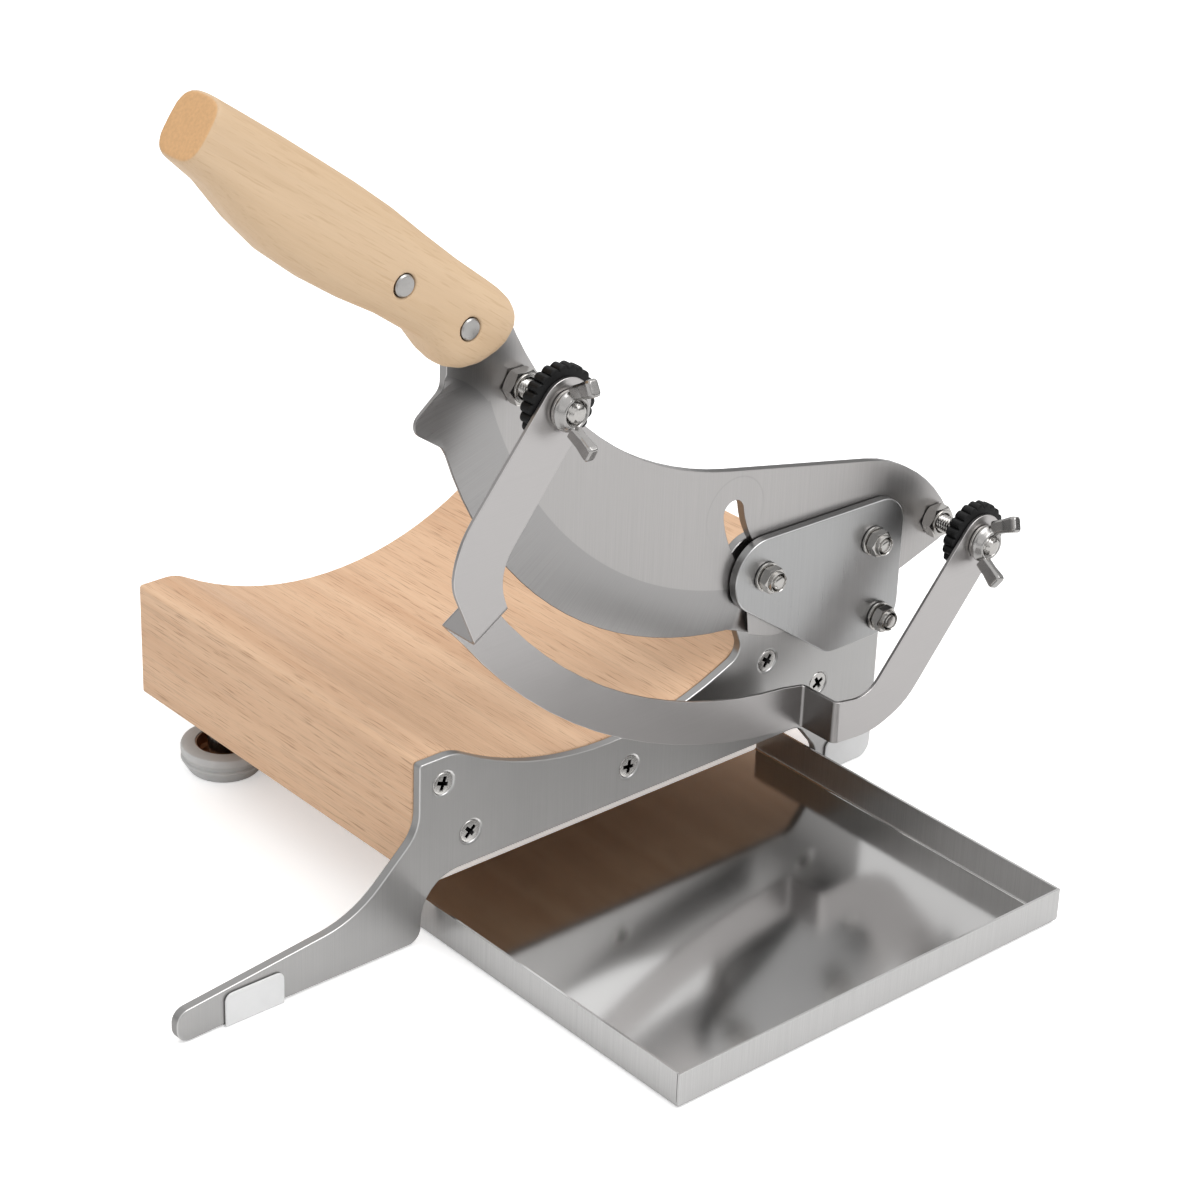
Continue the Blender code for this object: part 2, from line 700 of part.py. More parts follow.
def bevel_cutter(where):
    """What the grinder takes off the blade's front, from the bevel line out past the edge."""
    inner = from_pivot(BEVEL_CENTRE)
    outer = from_pivot(EDGE_CENTRE)
    reach = EDGE_RADIUS + BEVEL_REACH
    clear = BLADE_FRONT - CUT_OVER
    rings = []
    for i in range(BEVEL_STEPS + 1):
        share = i / BEVEL_STEPS
        angle = BEVEL_HEEL_ANGLE + (BEVEL_END_ANGLE - BEVEL_HEEL_ANGLE) * share
        edge_angle = BEVEL_HEEL_EDGE_ANGLE + (BEVEL_END_EDGE_ANGLE - BEVEL_HEEL_EDGE_ANGLE) * share
        radius = BEVEL_RADIUS + BEVEL_RUNOUT * max(0.0, BEVEL_RUNOUT_ANGLE - angle) ** 2
        land = EDGE_LAND + (SPUR_LAND - EDGE_LAND) * share ** 4
        start = on_circle(inner, radius, angle)
        near = on_circle(outer, EDGE_RADIUS, edge_angle)
        far = on_circle(outer, reach, edge_angle)
        depth = BLADE_BACK - land
        rings.append([
            (start[0], clear, start[1]),
            (start[0], BLADE_FRONT, start[1]),
            (near[0], depth, near[1]),
            (far[0], depth, far[1]),
            (far[0], clear, far[1]),
        ])
    return lofted("bevel_grind", rings, where)


def handle_ring(station):
    """One cross-section of the handle: a squarish round across the handle's line."""
    distance, above, below, share = station
    fall = math.radians(HANDLE_FALL)
    along = Vector((math.cos(fall), 0.0, -math.sin(fall)))
    up = Vector((math.sin(fall), 0.0, math.cos(fall)))
    butt = from_pivot(HANDLE_BUTT)
    middle = Vector((butt[0], BLADE_MIDDLE, butt[1])) + along * distance + up * (above - below) / 2
    half_height = (above + below) / 2
    half_depth = HANDLE_THICKNESS / 2 * share
    ring = []
    for i in range(HANDLE_ROUND_SIDES):
        turn = 2 * math.pi * i / HANDLE_ROUND_SIDES
        flat = 2 / HANDLE_SQUARENESS
        height = math.copysign(abs(math.sin(turn)) ** flat, math.sin(turn)) * half_height
        depth = math.copysign(abs(math.cos(turn)) ** flat, math.cos(turn)) * half_depth
        ring.append(middle + up * height + Vector((0.0, depth, 0.0)))
    return ring


def make_block(parts, tools):
    piece = upright_plate("wood_block", [block_outline()], BLOCK_FRONT, BLOCK_BACK, parts)
    for i, (x, z) in enumerate(screw_places()):
        pilot = plate(f"pilot_{i + 1}", [circle((x, z), SCREW_SHANK + 2 * CLEARANCE, SMALL_SIDES)],
                      -(SCREW_LENGTH + CLEARANCE), 0.0, tools)
        boolean(piece, pilot, "DIFFERENCE", tools)
    for name, x, y in rear_foot_places():
        bore = plate(f"stem_bore_{name}", [circle((x, y), REAR_STEM + 2 * CLEARANCE, SMALL_SIDES)],
                     BLOCK_BOTTOM - REAR_STEM_IN_BLOCK, BLOCK_BOTTOM + REAR_STEM_IN_BLOCK + CLEARANCE,
                     tools, UPRIGHT)
        boolean(piece, bore, "DIFFERENCE", tools)
    return finish(piece, "block_wood")


def screw_places():
    left = [(BLOCK_LEFT + inset, z) for inset, z in SCREW_PLACES_LEFT]
    right = [(BLOCK_RIGHT - inset, z) for inset, z in SCREW_PLACES_RIGHT]
    return left + right


def bolt_places():
    return (
        ("pivot", PIVOT),
        ("guide", from_pivot(GUIDE_FROM_PIVOT)),
        ("lower", from_pivot(LOWER_FROM_PIVOT)),
    )


def rear_foot_places():
    y = BLOCK_BACK - REAR_FOOT_FROM_BACK
    return (
        ("left", BLOCK_LEFT + REAR_FOOT_INSET, y),
        ("right", BLOCK_RIGHT - REAR_FOOT_INSET, y),
    )


def sunk_bore(name, head, shank, where):
    """Cuts a countersunk hole: a 45 degree cone from above Z = 0, and the bore on through the plate."""
    wide = head / 2 + CLEARANCE
    narrow = shank / 2 + CLEARANCE
    over = PLATE_THICKNESS / 4
    return turned(name, [
        (0.0, over), (wide + over, over), (narrow, narrow - wide), (narrow, -PLATE_THICKNESS - over),
        (0.0, -PLATE_THICKNESS - over),
    ], where, SMALL_SIDES)


def make_front_plate(parts, tools):
    piece = upright_plate("front_plate", [front_plate_outline()], 0.0, PLATE_THICKNESS, parts)
    for i, (x, z) in enumerate(screw_places()):
        cutter = sunk_bore(f"screw_sink_{i + 1}", SCREW_HEAD, SCREW_SHANK, tools)
        boolean(piece, stand(cutter, x, 0.0, z), "DIFFERENCE", tools)
    for name, (x, z) in bolt_places():
        cutter = sunk_bore(f"{name}_bolt_sink", BOLT_HEAD, BOLT, tools)
        cutter.matrix_world = Matrix.Translation((x, PLATE_THICKNESS, z)) @ FACE_FRONT.inverted()
        boolean(piece, cutter, "DIFFERENCE", tools)
    return finish(piece, "brushed_steel")


def make_plate_screws(parts):
    """Countersunk wood screws with a cross recess, their heads flush with the plate."""
    sink = (SCREW_HEAD - SCREW_SHANK) / 2
    point = SCREW_LENGTH - SCREW_SHANK
    master = turned("plate_screw_1", [
        (0.0, -SEAT), (SCREW_HEAD / 2, -SEAT), (SCREW_SHANK / 2, -sink - SEAT),
        (SCREW_SHANK / 2, -point), (0.0, -SCREW_LENGTH),
    ], parts, SMALL_SIDES)
    for name, turn in (("cross_1", 0.0), ("cross_2", math.pi / 2)):
        bar = box(name, (-SCREW_CROSS / 2, -SCREW_CROSS_WIDTH / 2, -SCREW_CROSS_DEPTH),
                  (SCREW_CROSS / 2, SCREW_CROSS_WIDTH / 2, SCREW_CROSS_DEPTH), parts)
        bar.rotation_euler = (0.0, 0.0, turn)
        boolean(master, bar, "DIFFERENCE", parts)
    baked(master)
    finish(master, "bright_steel")
    for i, (x, z) in enumerate(screw_places()):
        piece = master if i == 0 else copy_of(master, f"plate_screw_{i + 1}", parts)
        stand(piece, x, 0.0, z)


def make_foot_pads(parts, tools):
    """Channel-shaped pads pushed over the front plate's two feet."""
    front = -PAD_WALL - SEAT
    back = PLATE_THICKNESS + PAD_WALL + SEAT
    low_right = FOOT_ROUND + PAD_FLOOR
    for name, x, corner_round in (("left", LEFT_PAD_X, 0.0), ("right", RIGHT_PAD_X, low_right)):
        right = x + PAD_WIDTH
        corners = [
            (x, 0.0, 0.0), (x, PAD_HEIGHT, PAD_ROUND), (right, PAD_HEIGHT, PAD_ROUND),
            (right, 0.0, corner_round),
        ]
        pad = upright_plate(f"foot_pad_{name}", [rounded(corners)], front, back, parts)
        slot = box(f"pad_slot_{name}", (x - CUT_OVER, -SEAT, PAD_FLOOR),
                   (right + CUT_OVER, PLATE_THICKNESS + SEAT, 2 * PAD_HEIGHT), tools)
        finish(boolean(pad, slot, "DIFFERENCE", tools), "clear_pad")


def make_hinge_hardware(parts):
    """Bolts from behind the plate through bushes and guard, closed by washers and lock nuts."""
    washer_back = GUARD_FRONT - SEAT
    washer_front = washer_back - WASHER_THICKNESS
    nut_back = washer_front - SEAT
    nut_depth = LOCK_NUT_HEX + LOCK_NUT_COLLAR
    end = -(nut_back - nut_depth - BOLT_PROUD)
    head = -(PLATE_THICKNESS - SEAT)
    sink = (BOLT_HEAD - BOLT) / 2
    bolt = turned("pivot_bolt", [
        (0.0, end), (BOLT / 2 - CHAMFER, end), (BOLT / 2, end - CHAMFER), (BOLT / 2, head + sink),
        (BOLT_HEAD / 2, head), (0.0, head),
    ], parts, SMALL_SIDES)
    bore = BOLT / 2 + CLEARANCE
    bush = turned("pivot_bush", [
        (BUSH / 2, -BLADE_FRONT), (BUSH / 2, -BLADE_BACK), (bore, -BLADE_BACK), (bore, -BLADE_FRONT),
    ], parts, SMALL_SIDES)
    washer = turned("pivot_washer", [
        (WASHER / 2, -washer_front), (WASHER / 2, -washer_back), (bore, -washer_back), (bore, -washer_front),
    ], parts, SMALL_SIDES)
    nut = prism("pivot_lock_nut", LOCK_NUT_FLATS, -nut_back, -nut_back + LOCK_NUT_HEX, parts)
    top = -nut_back + nut_depth
    collar = turned("nut_collar", [
        (0.0, top), (LOCK_NUT_COLLAR_WIDTH / 2 - CHAMFER, top), (LOCK_NUT_COLLAR_WIDTH / 2, top - CHAMFER),
        (LOCK_NUT_COLLAR_WIDTH / 2, LOCK_NUT_COLLAR - nut_back), (0.0, LOCK_NUT_COLLAR - nut_back),
    ], parts, SMALL_SIDES)
    boolean(nut, collar, "UNION", parts)
    boolean(nut, rod("nut_bore", bore, -nut_back - CUT_OVER, top + CUT_OVER, parts), "DIFFERENCE", parts)
    baked(nut)
    masters = ((bolt, "bolt", "bright_steel"), (bush, "bush", "bright_steel"),
               (washer, "washer", "bright_steel"), (nut, "lock_nut", "bright_steel"))
    made = {}
    for master, kind, material in masters:
        finish(master, material)
        for name, (x, z) in bolt_places():
            piece = master if name == "pivot" else copy_of(master, f"{name}_{kind}", parts)
            made[piece.name] = stand(piece, x, 0.0, z)
    return made


def make_guard(parts):
    loops = [guard_outline()]
    loops += [flipped(circle(place, BOLT + 2 * CLEARANCE)) for name, place in bolt_places()]
    piece = upright_plate("guard_plate", loops, GUARD_FRONT, GUARD_BACK, parts)
    return finish(piece, "brushed_steel")


def make_blade(parts, tools):
    loops = [blade_outline()]
    loops.append(flipped(slot_outline(from_pivot(GUIDE_FROM_PIVOT), SLOT_STEPS)))
    loops.append(flipped(slot_outline(PIVOT, SLOT_STEPS // 5)))
    loops += [flipped(circle(from_pivot(place), STUD + 2 * CLEARANCE)) for side, place in STUDS]
    loops += [flipped(circle(from_pivot(place), RIVET + 2 * CLEARANCE)) for place in TANG_RIVETS]
    piece = upright_plate("blade", loops, BLADE_FRONT, BLADE_BACK, parts)
    boolean(piece, bevel_cutter(tools), "DIFFERENCE", tools)
    return finish(piece, "blade_steel")


def make_handle(parts, tools):
    piece = lofted("handle", [handle_ring(station) for station in HANDLE_STATIONS], parts)
    slot = upright_plate("tang_slot", [blade_outline(CLEARANCE)],
                             BLADE_FRONT - CLEARANCE, BLADE_BACK + CLEARANCE, tools)
    boolean(piece, slot, "DIFFERENCE", tools)
    for i, place in enumerate(TANG_RIVETS):
        bore = upright_plate(f"rivet_bore_{i + 1}",
                                 [circle(from_pivot(place), RIVET + 2 * CLEARANCE)],
                                 BLADE_MIDDLE - HANDLE_THICKNESS, BLADE_MIDDLE + HANDLE_THICKNESS, tools)
        boolean(piece, bore, "DIFFERENCE", tools)
    return finish(piece, "handle_wood")


def make_rivets(parts):
    half = HANDLE_THICKNESS / 2 + RIVET_PROUD
    master = turned("handle_rivet_1", [
        (0.0, half), (RIVET / 2 - CHAMFER, half), (RIVET / 2, half - CHAMFER), (RIVET / 2, CHAMFER - half),
        (RIVET / 2 - CHAMFER, -half), (0.0, -half),
    ], parts, SMALL_SIDES)
    finish(master, "bright_steel")
    second = copy_of(master, "handle_rivet_2", parts)
    for piece, place in zip((master, second), TANG_RIVETS):
        x, z = from_pivot(place)
        stand(piece, x, BLADE_MIDDLE, z)
    return [master, second]


def gauge_bar_outline():
    """The curved bar that stops the bunch, between its two folds."""
    upper = from_pivot(BAR_UPPER_CENTRE)
    lower = from_pivot(BAR_LOWER_CENTRE)
    left_low, left_high = (from_pivot(point) for point in LEFT_FOLD)
    right_low, right_high = (from_pivot(point) for point in RIGHT_FOLD)

    def bearing(centre, point):
        return math.degrees(math.atan2(point[1] - centre[1], point[0] - centre[0])) % 360.0

    low = arc(lower, BAR_LOWER_RADIUS, bearing(lower, left_low), bearing(lower, right_low), LONG_ARC_STEP)
    high = arc(upper, BAR_UPPER_RADIUS, bearing(upper, right_high), bearing(upper, left_high), LONG_ARC_STEP)
    return [left_low] + low[1:-1] + [right_low, right_high] + high[1:-1] + [left_high]


def fold_corners(fold, inward):
    """The web's footprint: the fold line, then the same line one thickness over, on the bar's side."""
    low, high = (Vector(from_pivot(point)) for point in fold)
    along = (high - low).normalized()
    side = Vector((along.y, -along.x)) * GAUGE_THICKNESS * inward
    return [tuple(low), tuple(high), tuple(high + side), tuple(low + side)]


def left_arm_outline(stud):
    fold = fold_corners(LEFT_FOLD, 1)
    outer = from_pivot(LEFT_ARM_OUTER)
    elbow = from_pivot(LEFT_ARM_ELBOW)
    inner = from_pivot(LEFT_ARM_INNER)
    start = touching(elbow, stud, ARM_END_ROUND, -1) % 360.0
    end = touching(inner, stud, ARM_END_ROUND, 1)
    corners = corner([fold[3], fold[0]])
    corners += [(*outer, LEFT_ARM_ELBOW_ROUND / 2), (*elbow, LEFT_ARM_ELBOW_ROUND)]
    corners += corner(arc(stud, ARM_END_ROUND, start, end % 360.0 - 360.0, 9.0))
    corners.append((*inner, LEFT_ARM_INNER_ROUND))
    corners += corner([fold[1], fold[2]])
    return rounded(corners)


def right_arm_outline(stud):
    fold = fold_corners(RIGHT_FOLD, -1)
    under = [from_pivot(point) for point in RIGHT_ARM_LOWER]
    inner = from_pivot(RIGHT_ARM_INNER)
    start = touching(inner, stud, ARM_END_ROUND, -1) % 360.0
    end = touching(under[1], stud, ARM_END_ROUND, 1)
    corners = corner([fold[0], fold[3], fold[2], fold[1]])
    corners.append((*inner, RIGHT_ARM_INNER_ROUND))
    corners += corner(arc(stud, ARM_END_ROUND, start, (end % 360.0) - 360.0, 9.0))
    corners += [(*under[1], RIGHT_ARM_LOWER_ROUND[1]), (*under[0], RIGHT_ARM_LOWER_ROUND[0])]
    return rounded(corners)


def fold_web(name, fold, inward, where):
    """The short piece of strip between two folds, its ends a hair inside the bar and the arm."""
    corners = [Vector(point) for point in fold_corners(fold, inward)]
    middle = sum(corners, Vector((0.0, 0.0))) / 4
    along = (corners[1] - corners[0]).normalized()
    side = Vector((along.y, -along.x))
    ring = []
    for point in corners:
        way = point - middle
        ring.append(tuple(point - along * math.copysign(FOLD_INSET, way.dot(along))
                          - side * math.copysign(FOLD_INSET, way.dot(side))))
    return upright_plate(name, [ring], ARM_FRONT + FOLD_INSET, BAR_BACK - FOLD_INSET, where)


def make_gauge(parts, tools):
    """The gauge is one strip: bar, two webs and two arms, joined into one solid."""
    studs = {side: from_pivot(place) for side, place in STUDS}
    piece = upright_plate("thickness_gauge", [gauge_bar_outline()], BAR_FRONT, BAR_BACK, parts)
    left = upright_plate("left_arm", [left_arm_outline(studs["left"])], ARM_FRONT, ARM_BACK, tools)
    right = upright_plate("right_arm", [right_arm_outline(studs["right"])], ARM_FRONT, ARM_BACK, tools)
    boolean(piece, fold_web("left_web", LEFT_FOLD, 1, tools), "UNION", tools)
    boolean(piece, fold_web("right_web", RIGHT_FOLD, -1, tools), "UNION", tools)
    boolean(piece, left, "UNION", tools)
    boolean(piece, right, "UNION", tools)
    for side, stud in studs.items():
        bore = upright_plate(f"gauge_bore_{side}", [circle(stud, STUD + 2 * CLEARANCE)],
                                 ARM_FRONT - CUT_OVER, ARM_BACK + CUT_OVER, tools)
        boolean(piece, bore, "DIFFERENCE", tools)
    return finish(piece, "brushed_steel")


def knurled_outline():
    """A round with lobes, like a gear with soft teeth, and small dips between them."""
    points = []
    count = KNURLED_NUT_LOBES * POINTS_PER_LOBE
    for i in range(count):
        phase = (i % POINTS_PER_LOBE) / POINTS_PER_LOBE
        bulge = abs(math.sin(math.pi * phase)) ** KNURLED_NUT_LOBE_FULLNESS
        radius = KNURLED_NUT / 2 - KNURLED_NUT_LOBE_DEPTH * (1.0 - bulge)
        points.append(on_circle((0, 0), radius, 360.0 * i / count))
    return points


def wing_outline():
    """Both wings, drawn across the hub with Z along the stud, each a blunt bar that leans outward."""
    lean = math.radians(WING_LEAN)
    along = Vector((math.cos(lean), math.sin(lean)))
    half = Vector((along.y, -along.x)) * WING_WIDTH / 2
    tip = Vector(WING_TIP)
    side = [
        (WING_HUB_TOP / 4, WING_HUB_RIM, 0.0),
        (WING_HUB_BASE / 2, WING_HUB_RIM, 0.0),
        (*(tip + half), WING_TIP_ROUND),
        (*(tip - half), WING_TIP_ROUND),
        (WING_HUB_TOP / 2, WING_HUB_DEPTH - WING_HUB_RIM, 0.0),
    ]
    return [rounded(side), rounded([(-x, z, r) for x, z, r in flipped(side)])]


def stud_stack():
    """Places along each gauge stud, as distances in front of the plate's face."""
    nut_back = -BLADE_FRONT + SEAT
    knurl_front = -ARM_BACK - SEAT
    washer_back = -ARM_FRONT + SEAT
    hub_back = washer_back + GAUGE_WASHER_THICKNESS + SEAT
    return {
        "nut": (nut_back, nut_back + STUD_NUT_DEPTH),
        "knurl": (knurl_front - KNURLED_NUT_DEPTH, knurl_front),
        "washer": (washer_back, washer_back + GAUGE_WASHER_THICKNESS),
        "hub": hub_back,
        "end": hub_back + WING_HUB_DEPTH + STUD_PROUD,
    }


def make_gauge_hardware(parts):
    """Studs, hex nuts, knurled nuts, washers and wing nuts, one set for each arm of the gauge."""
    stack = stud_stack()
    bore = STUD / 2 + CLEARANCE
    made = {}

    head_front = -BLADE_BACK - SEAT
    stud = prism("gauge_stud_left", STUD_HEAD_FLATS, head_front - STUD_HEAD_DEPTH, head_front, parts)
    shank = turned("stud_shank", [
        (0.0, stack["end"]), (STUD / 2 - CHAMFER, stack["end"]), (STUD / 2, stack["end"] - CHAMFER),
        (STUD / 2, head_front - STUD_HEAD_DEPTH / 2), (0.0, head_front - STUD_HEAD_DEPTH / 2),
    ], parts, SMALL_SIDES)
    boolean(stud, shank, "UNION", parts)
    baked(stud)

    hole = flipped(circle((0, 0), 2 * bore, SMALL_SIDES))
    nut = plate("stud_nut_left", [hexagon(STUD_NUT_FLATS), hole], *stack["nut"], parts, UPRIGHT)
    knurl = plate("knurled_nut_left", [knurled_outline(), hole], *stack["knurl"], parts, UPRIGHT)
    low, high = stack["washer"]
    washer = turned("gauge_washer_left", [
        (GAUGE_WASHER / 2, high), (GAUGE_WASHER / 2, low), (bore, low), (bore, high),
    ], parts, SMALL_SIDES)

    base = stack["hub"]
    wing = turned("wing_nut_left", [
        (0.0, base + WING_HUB_DEPTH), (WING_HUB_TOP / 2, base + WING_HUB_DEPTH),
        (WING_HUB_BASE / 2, base + WING_HUB_RIM), (WING_HUB_BASE / 2, base), (0.0, base),
    ], parts, SMALL_SIDES)
    across = Matrix(((0, 0, 1, 0), (1, 0, 0, 0), (0, 1, 0, base), (0, 0, 0, 1)))
    for i, loop in enumerate(wing_outline()):
        ear = plate(f"wing_ear_{i + 1}", [loop], -WING_THICKNESS / 2, WING_THICKNESS / 2, parts, across)
        boolean(wing, ear, "UNION", parts)
    boolean(wing, rod("wing_bore", bore, base - CUT_OVER, base + WING_HUB_DEPTH + CUT_OVER, parts),
            "DIFFERENCE", parts)
    baked(wing)

    kinds = ((stud, "gauge_stud", "bright_steel"), (nut, "stud_nut", "bright_steel"),
             (knurl, "knurled_nut", "black_plastic"), (washer, "gauge_washer", "bright_steel"),
             (wing, "wing_nut", "bright_steel"))
    for master, kind, material in kinds:
        finish(master, material)
        for side, place in STUDS:
            piece = master if side == "left" else copy_of(master, f"{kind}_{side}", parts)
            x, z = from_pivot(place)
            made[piece.name] = stand(piece, x, 0.0, z)
    tightened = Matrix.Rotation(math.radians(RIGHT_WING_TURN), 4, "Z")
    made["wing_nut_right"].matrix_world = made["wing_nut_right"].matrix_world @ tightened
    return made


def make_rear_feet(parts):
    """Rubber cups under the back of the block, each held by a screw through a spacer."""
    top = REAR_FOOT_HEIGHT
    rim = REAR_FOOT_RIM
    waist = rim - REAR_FOOT_GROOVE
    bevel = REAR_FOOT_BEVEL
    groove_top = top - REAR_FOOT_RIM_DEPTH
    groove_low = groove_top - REAR_FOOT_GROOVE_WIDTH
    ledge = REAR_FOOT_FLOOR / 2
    bore = REAR_STEM / 2 + CLEARANCE
    sunk = REAR_STEM_HEAD / 2 + CLEARANCE
    foot = turned("rear_foot_left", [
        (rim - 2 * bevel, top), (rim, top - 2 * bevel), (rim, groove_top), (waist, groove_top - bevel),
        (waist, groove_low + bevel), (rim, groove_low), (REAR_FOOT_SOLE, 0.0), (sunk, 0.0), (sunk, ledge),
        (bore, ledge), (bore, REAR_FOOT_FLOOR), (REAR_FOOT_WELL, REAR_FOOT_FLOOR), (REAR_FOOT_WELL, top),
    ], parts)
    head_top = ledge - SEAT
    stem_top = BLOCK_BOTTOM + REAR_STEM_IN_BLOCK
    screw = turned("rear_foot_screw_left", [
        (0.0, stem_top), (REAR_STEM / 2, stem_top - CHAMFER), (REAR_STEM / 2, head_top),
        (REAR_STEM_HEAD / 2, head_top), (REAR_STEM_HEAD / 2, bevel), (0.0, bevel),
    ], parts)
    spacer_low = REAR_FOOT_FLOOR + SEAT
    spacer_high = BLOCK_BOTTOM - SEAT
    spacer = turned("rear_foot_spacer_left", [
        (REAR_STEM_HEAD / 2, spacer_high), (REAR_STEM_HEAD / 2, spacer_low), (bore, spacer_low),
        (bore, spacer_high),
    ], parts)
    kinds = ((foot, "rear_foot", "grey_rubber"), (screw, "rear_foot_screw", "bright_steel"),
             (spacer, "rear_foot_spacer", "bright_steel"))
    for master, kind, material in kinds:
        finish(master, material)
        for side, x, y in rear_foot_places():
            piece = master if side == "left" else copy_of(master, f"{kind}_{side}", parts)
            piece.location = (x, y, 0.0)


def make_tray(parts, tools):
    """A shallow sheet tray, open at the back, that slides in under the front plate."""
    left = ARCH_LEFT + TRAY_GAP
    low = (left, TRAY_FRONT, 0.0)
    high = (left + TRAY_WIDTH, TRAY_FRONT + TRAY_LENGTH, TRAY_HEIGHT)
    piece = box("tray", low, high, parts)
    inside = box("tray_inside", (low[0] + TRAY_SHEET, low[1] + TRAY_SHEET, TRAY_SHEET),
                 (high[0] - TRAY_SHEET, high[1] + TRAY_SHEET, 2 * TRAY_HEIGHT), tools)
    return finish(boolean(piece, inside, "DIFFERENCE", tools), "tray_steel")


def main():
    for thing in list(bpy.data.objects):
        bpy.data.objects.remove(thing)
    parts = new_collection("herb_guillotine_cutter")
    tools = new_collection("cutters")

    make_block(parts, tools)
    make_front_plate(parts, tools)
    make_plate_screws(parts)
    make_foot_pads(parts, tools)
    hinge = make_hinge_hardware(parts)
    make_guard(parts)
    make_rear_feet(parts)

    blade = make_blade(parts, tools)
    handle = make_handle(parts, tools)
    rivets = make_rivets(parts)
    gauge = make_gauge(parts, tools)
    hardware = make_gauge_hardware(parts)
    tray = make_tray(parts, tools)

    swing = joint_empty("knife_pivot", (PIVOT[0], 0.0, PIVOT[1]), parts)
    draw = joint_empty("knife_draw", (PIVOT[0], 0.0, PIVOT[1]), parts)
    setting = joint_empty("gauge_setting", (PIVOT[0], ARM_BACK, PIVOT[1]), parts)
    carry(swing, hinge["pivot_bush"], draw)
    carry(draw, blade, handle, *rivets, setting)
    for side, place in STUDS:
        carry(draw, hardware[f"gauge_stud_{side}"], hardware[f"stud_nut_{side}"])
        carry(setting, hardware[f"knurled_nut_{side}"], hardware[f"gauge_washer_{side}"],
              hardware[f"wing_nut_{side}"])
    carry(setting, gauge)
    carry(joint_empty("tray_runner", (tray.location.x, TRAY_FRONT, 0.0), parts), tray)


main()
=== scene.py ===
"""Herb guillotine cutter: the finished look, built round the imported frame.

Metres, in the frame's own axes: +X runs to the hinge, +Y back along the block, +Z up.
Turned pieces have their axis along Y and are drawn at X = Z = 0, then put in place.
A turned profile is a list of (radius, Y) points, and the tables below give Y from the nearer face.
"""

import math

import bmesh
import bpy
from mathutils import Matrix, Vector


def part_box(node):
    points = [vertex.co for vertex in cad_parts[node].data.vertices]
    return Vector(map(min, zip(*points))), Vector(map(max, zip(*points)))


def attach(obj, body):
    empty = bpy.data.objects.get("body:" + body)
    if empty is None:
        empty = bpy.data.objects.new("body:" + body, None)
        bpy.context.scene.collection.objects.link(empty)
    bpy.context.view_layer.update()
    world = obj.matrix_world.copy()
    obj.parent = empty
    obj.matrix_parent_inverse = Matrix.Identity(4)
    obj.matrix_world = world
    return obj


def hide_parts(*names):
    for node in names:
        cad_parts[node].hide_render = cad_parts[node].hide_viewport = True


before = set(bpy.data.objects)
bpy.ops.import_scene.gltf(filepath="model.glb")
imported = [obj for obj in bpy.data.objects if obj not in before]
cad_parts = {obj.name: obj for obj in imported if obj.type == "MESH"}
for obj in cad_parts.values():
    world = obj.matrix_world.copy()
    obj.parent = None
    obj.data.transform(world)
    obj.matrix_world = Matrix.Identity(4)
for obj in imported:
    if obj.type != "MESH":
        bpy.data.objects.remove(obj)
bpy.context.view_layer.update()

scene = bpy.context.scene

# Photographer's camera
CAMERA_AT = (-0.6857, -0.6410, 0.5343)
CAMERA_TURN = math.radians(-41.837)
CAMERA_RISE = math.radians(26.953)
CAMERA_ROLL = math.radians(2.216)
LENS = 94.93
SENSOR = 36.0
CLIP = (0.05, 20.0)

# Studio: white that the table adds for the camera, so that shadows stay as faint as in a cut-out photo
TABLE_LIFT = 0.40
# Half the table's width, and how far its top lies below the feet
TABLE_REACH = 4.0
TABLE_DROP = 0.0002
# Light of the sky by height, from the horizon up, and the glow low on the left
SKY_STOPS = ((0.0, 0.08), (0.16, 0.16), (0.40, 0.85), (1.0, 1.0))
SKY_STRENGTH = 1.12
SKY_GLOW = 0.55
# Softboxes: place, aim, size and watts
SOFTBOXES = {
    "key_softbox": ((0.35, -1.0, 1.50), (-0.02, -0.1, 0.05), (1.2, 1.2), 13.0),
    "back_softbox": ((0.5, 1.1, 1.3), (-0.05, 0.05, 0.05), (1.0, 0.8), 0.9),
}

# Roundness of edges, as a radius
PLATE_EASE = 0.00035
SHEET_EASE = 0.00015
BLOCK_EASE = 0.0008
PAD_EASE = 0.0003
RING_EASE = 0.0003
# Edges past these turns are sharp: on most pieces, on the blade, on melted skins, on the screws' crosses
CREASE = math.radians(32.0)
BLADE_CREASE = math.radians(40.0)
SKIN_CREASE = math.radians(60.0)
CROSS_CREASE = math.radians(20.0)
# A CAD face's triangles join up again where they are this flat, and its points where they are this close
FLAT_ENOUGH = math.radians(0.03)
WELD = 0.000002
# A CAD point this near a Y lies on it
SAME_LEVEL = 0.00002

# Brushing: how wide a line is, how far it runs and how deep it is; clouds are the dull patches over it
LINE = 0.00032
LINE_RUN = 0.045
LINE_DEPTH = 0.000006
CLOUD = 0.03
# Relief of rolled, ground and plated steel and of the wood's pores
ROLLED_DEPTH = 0.0000012
GROUND_DEPTH = 0.000004
PLATED_DEPTH = 0.000001
PORE_DEPTH = 0.00004
# Most of a noise lies between these values
MOST = (0.3, 0.7)
# Half the width of a fine drawn line
HAIR = 0.0001
# Depths behind the face between which a plate's eased rim ends, its painted highlight giving way to painted
# shade, and between which a screw's cross is painted dark as shade
RIM_DEPTHS = (0.0003, 0.0006)
RECESS_SHADE_DEPTHS = (0.00015, 0.0005)

# Knife, from the drawing: pivot, and the circle of the ground bevel's upper line
PIVOT = (0.0, 0.0874)
BEVEL_CENTRE = (PIVOT[0] - 0.03283, PIVOT[1] + 0.12889)
BEVEL_RADIUS = 0.1329
BEVEL_HEEL = math.radians(-98.9)
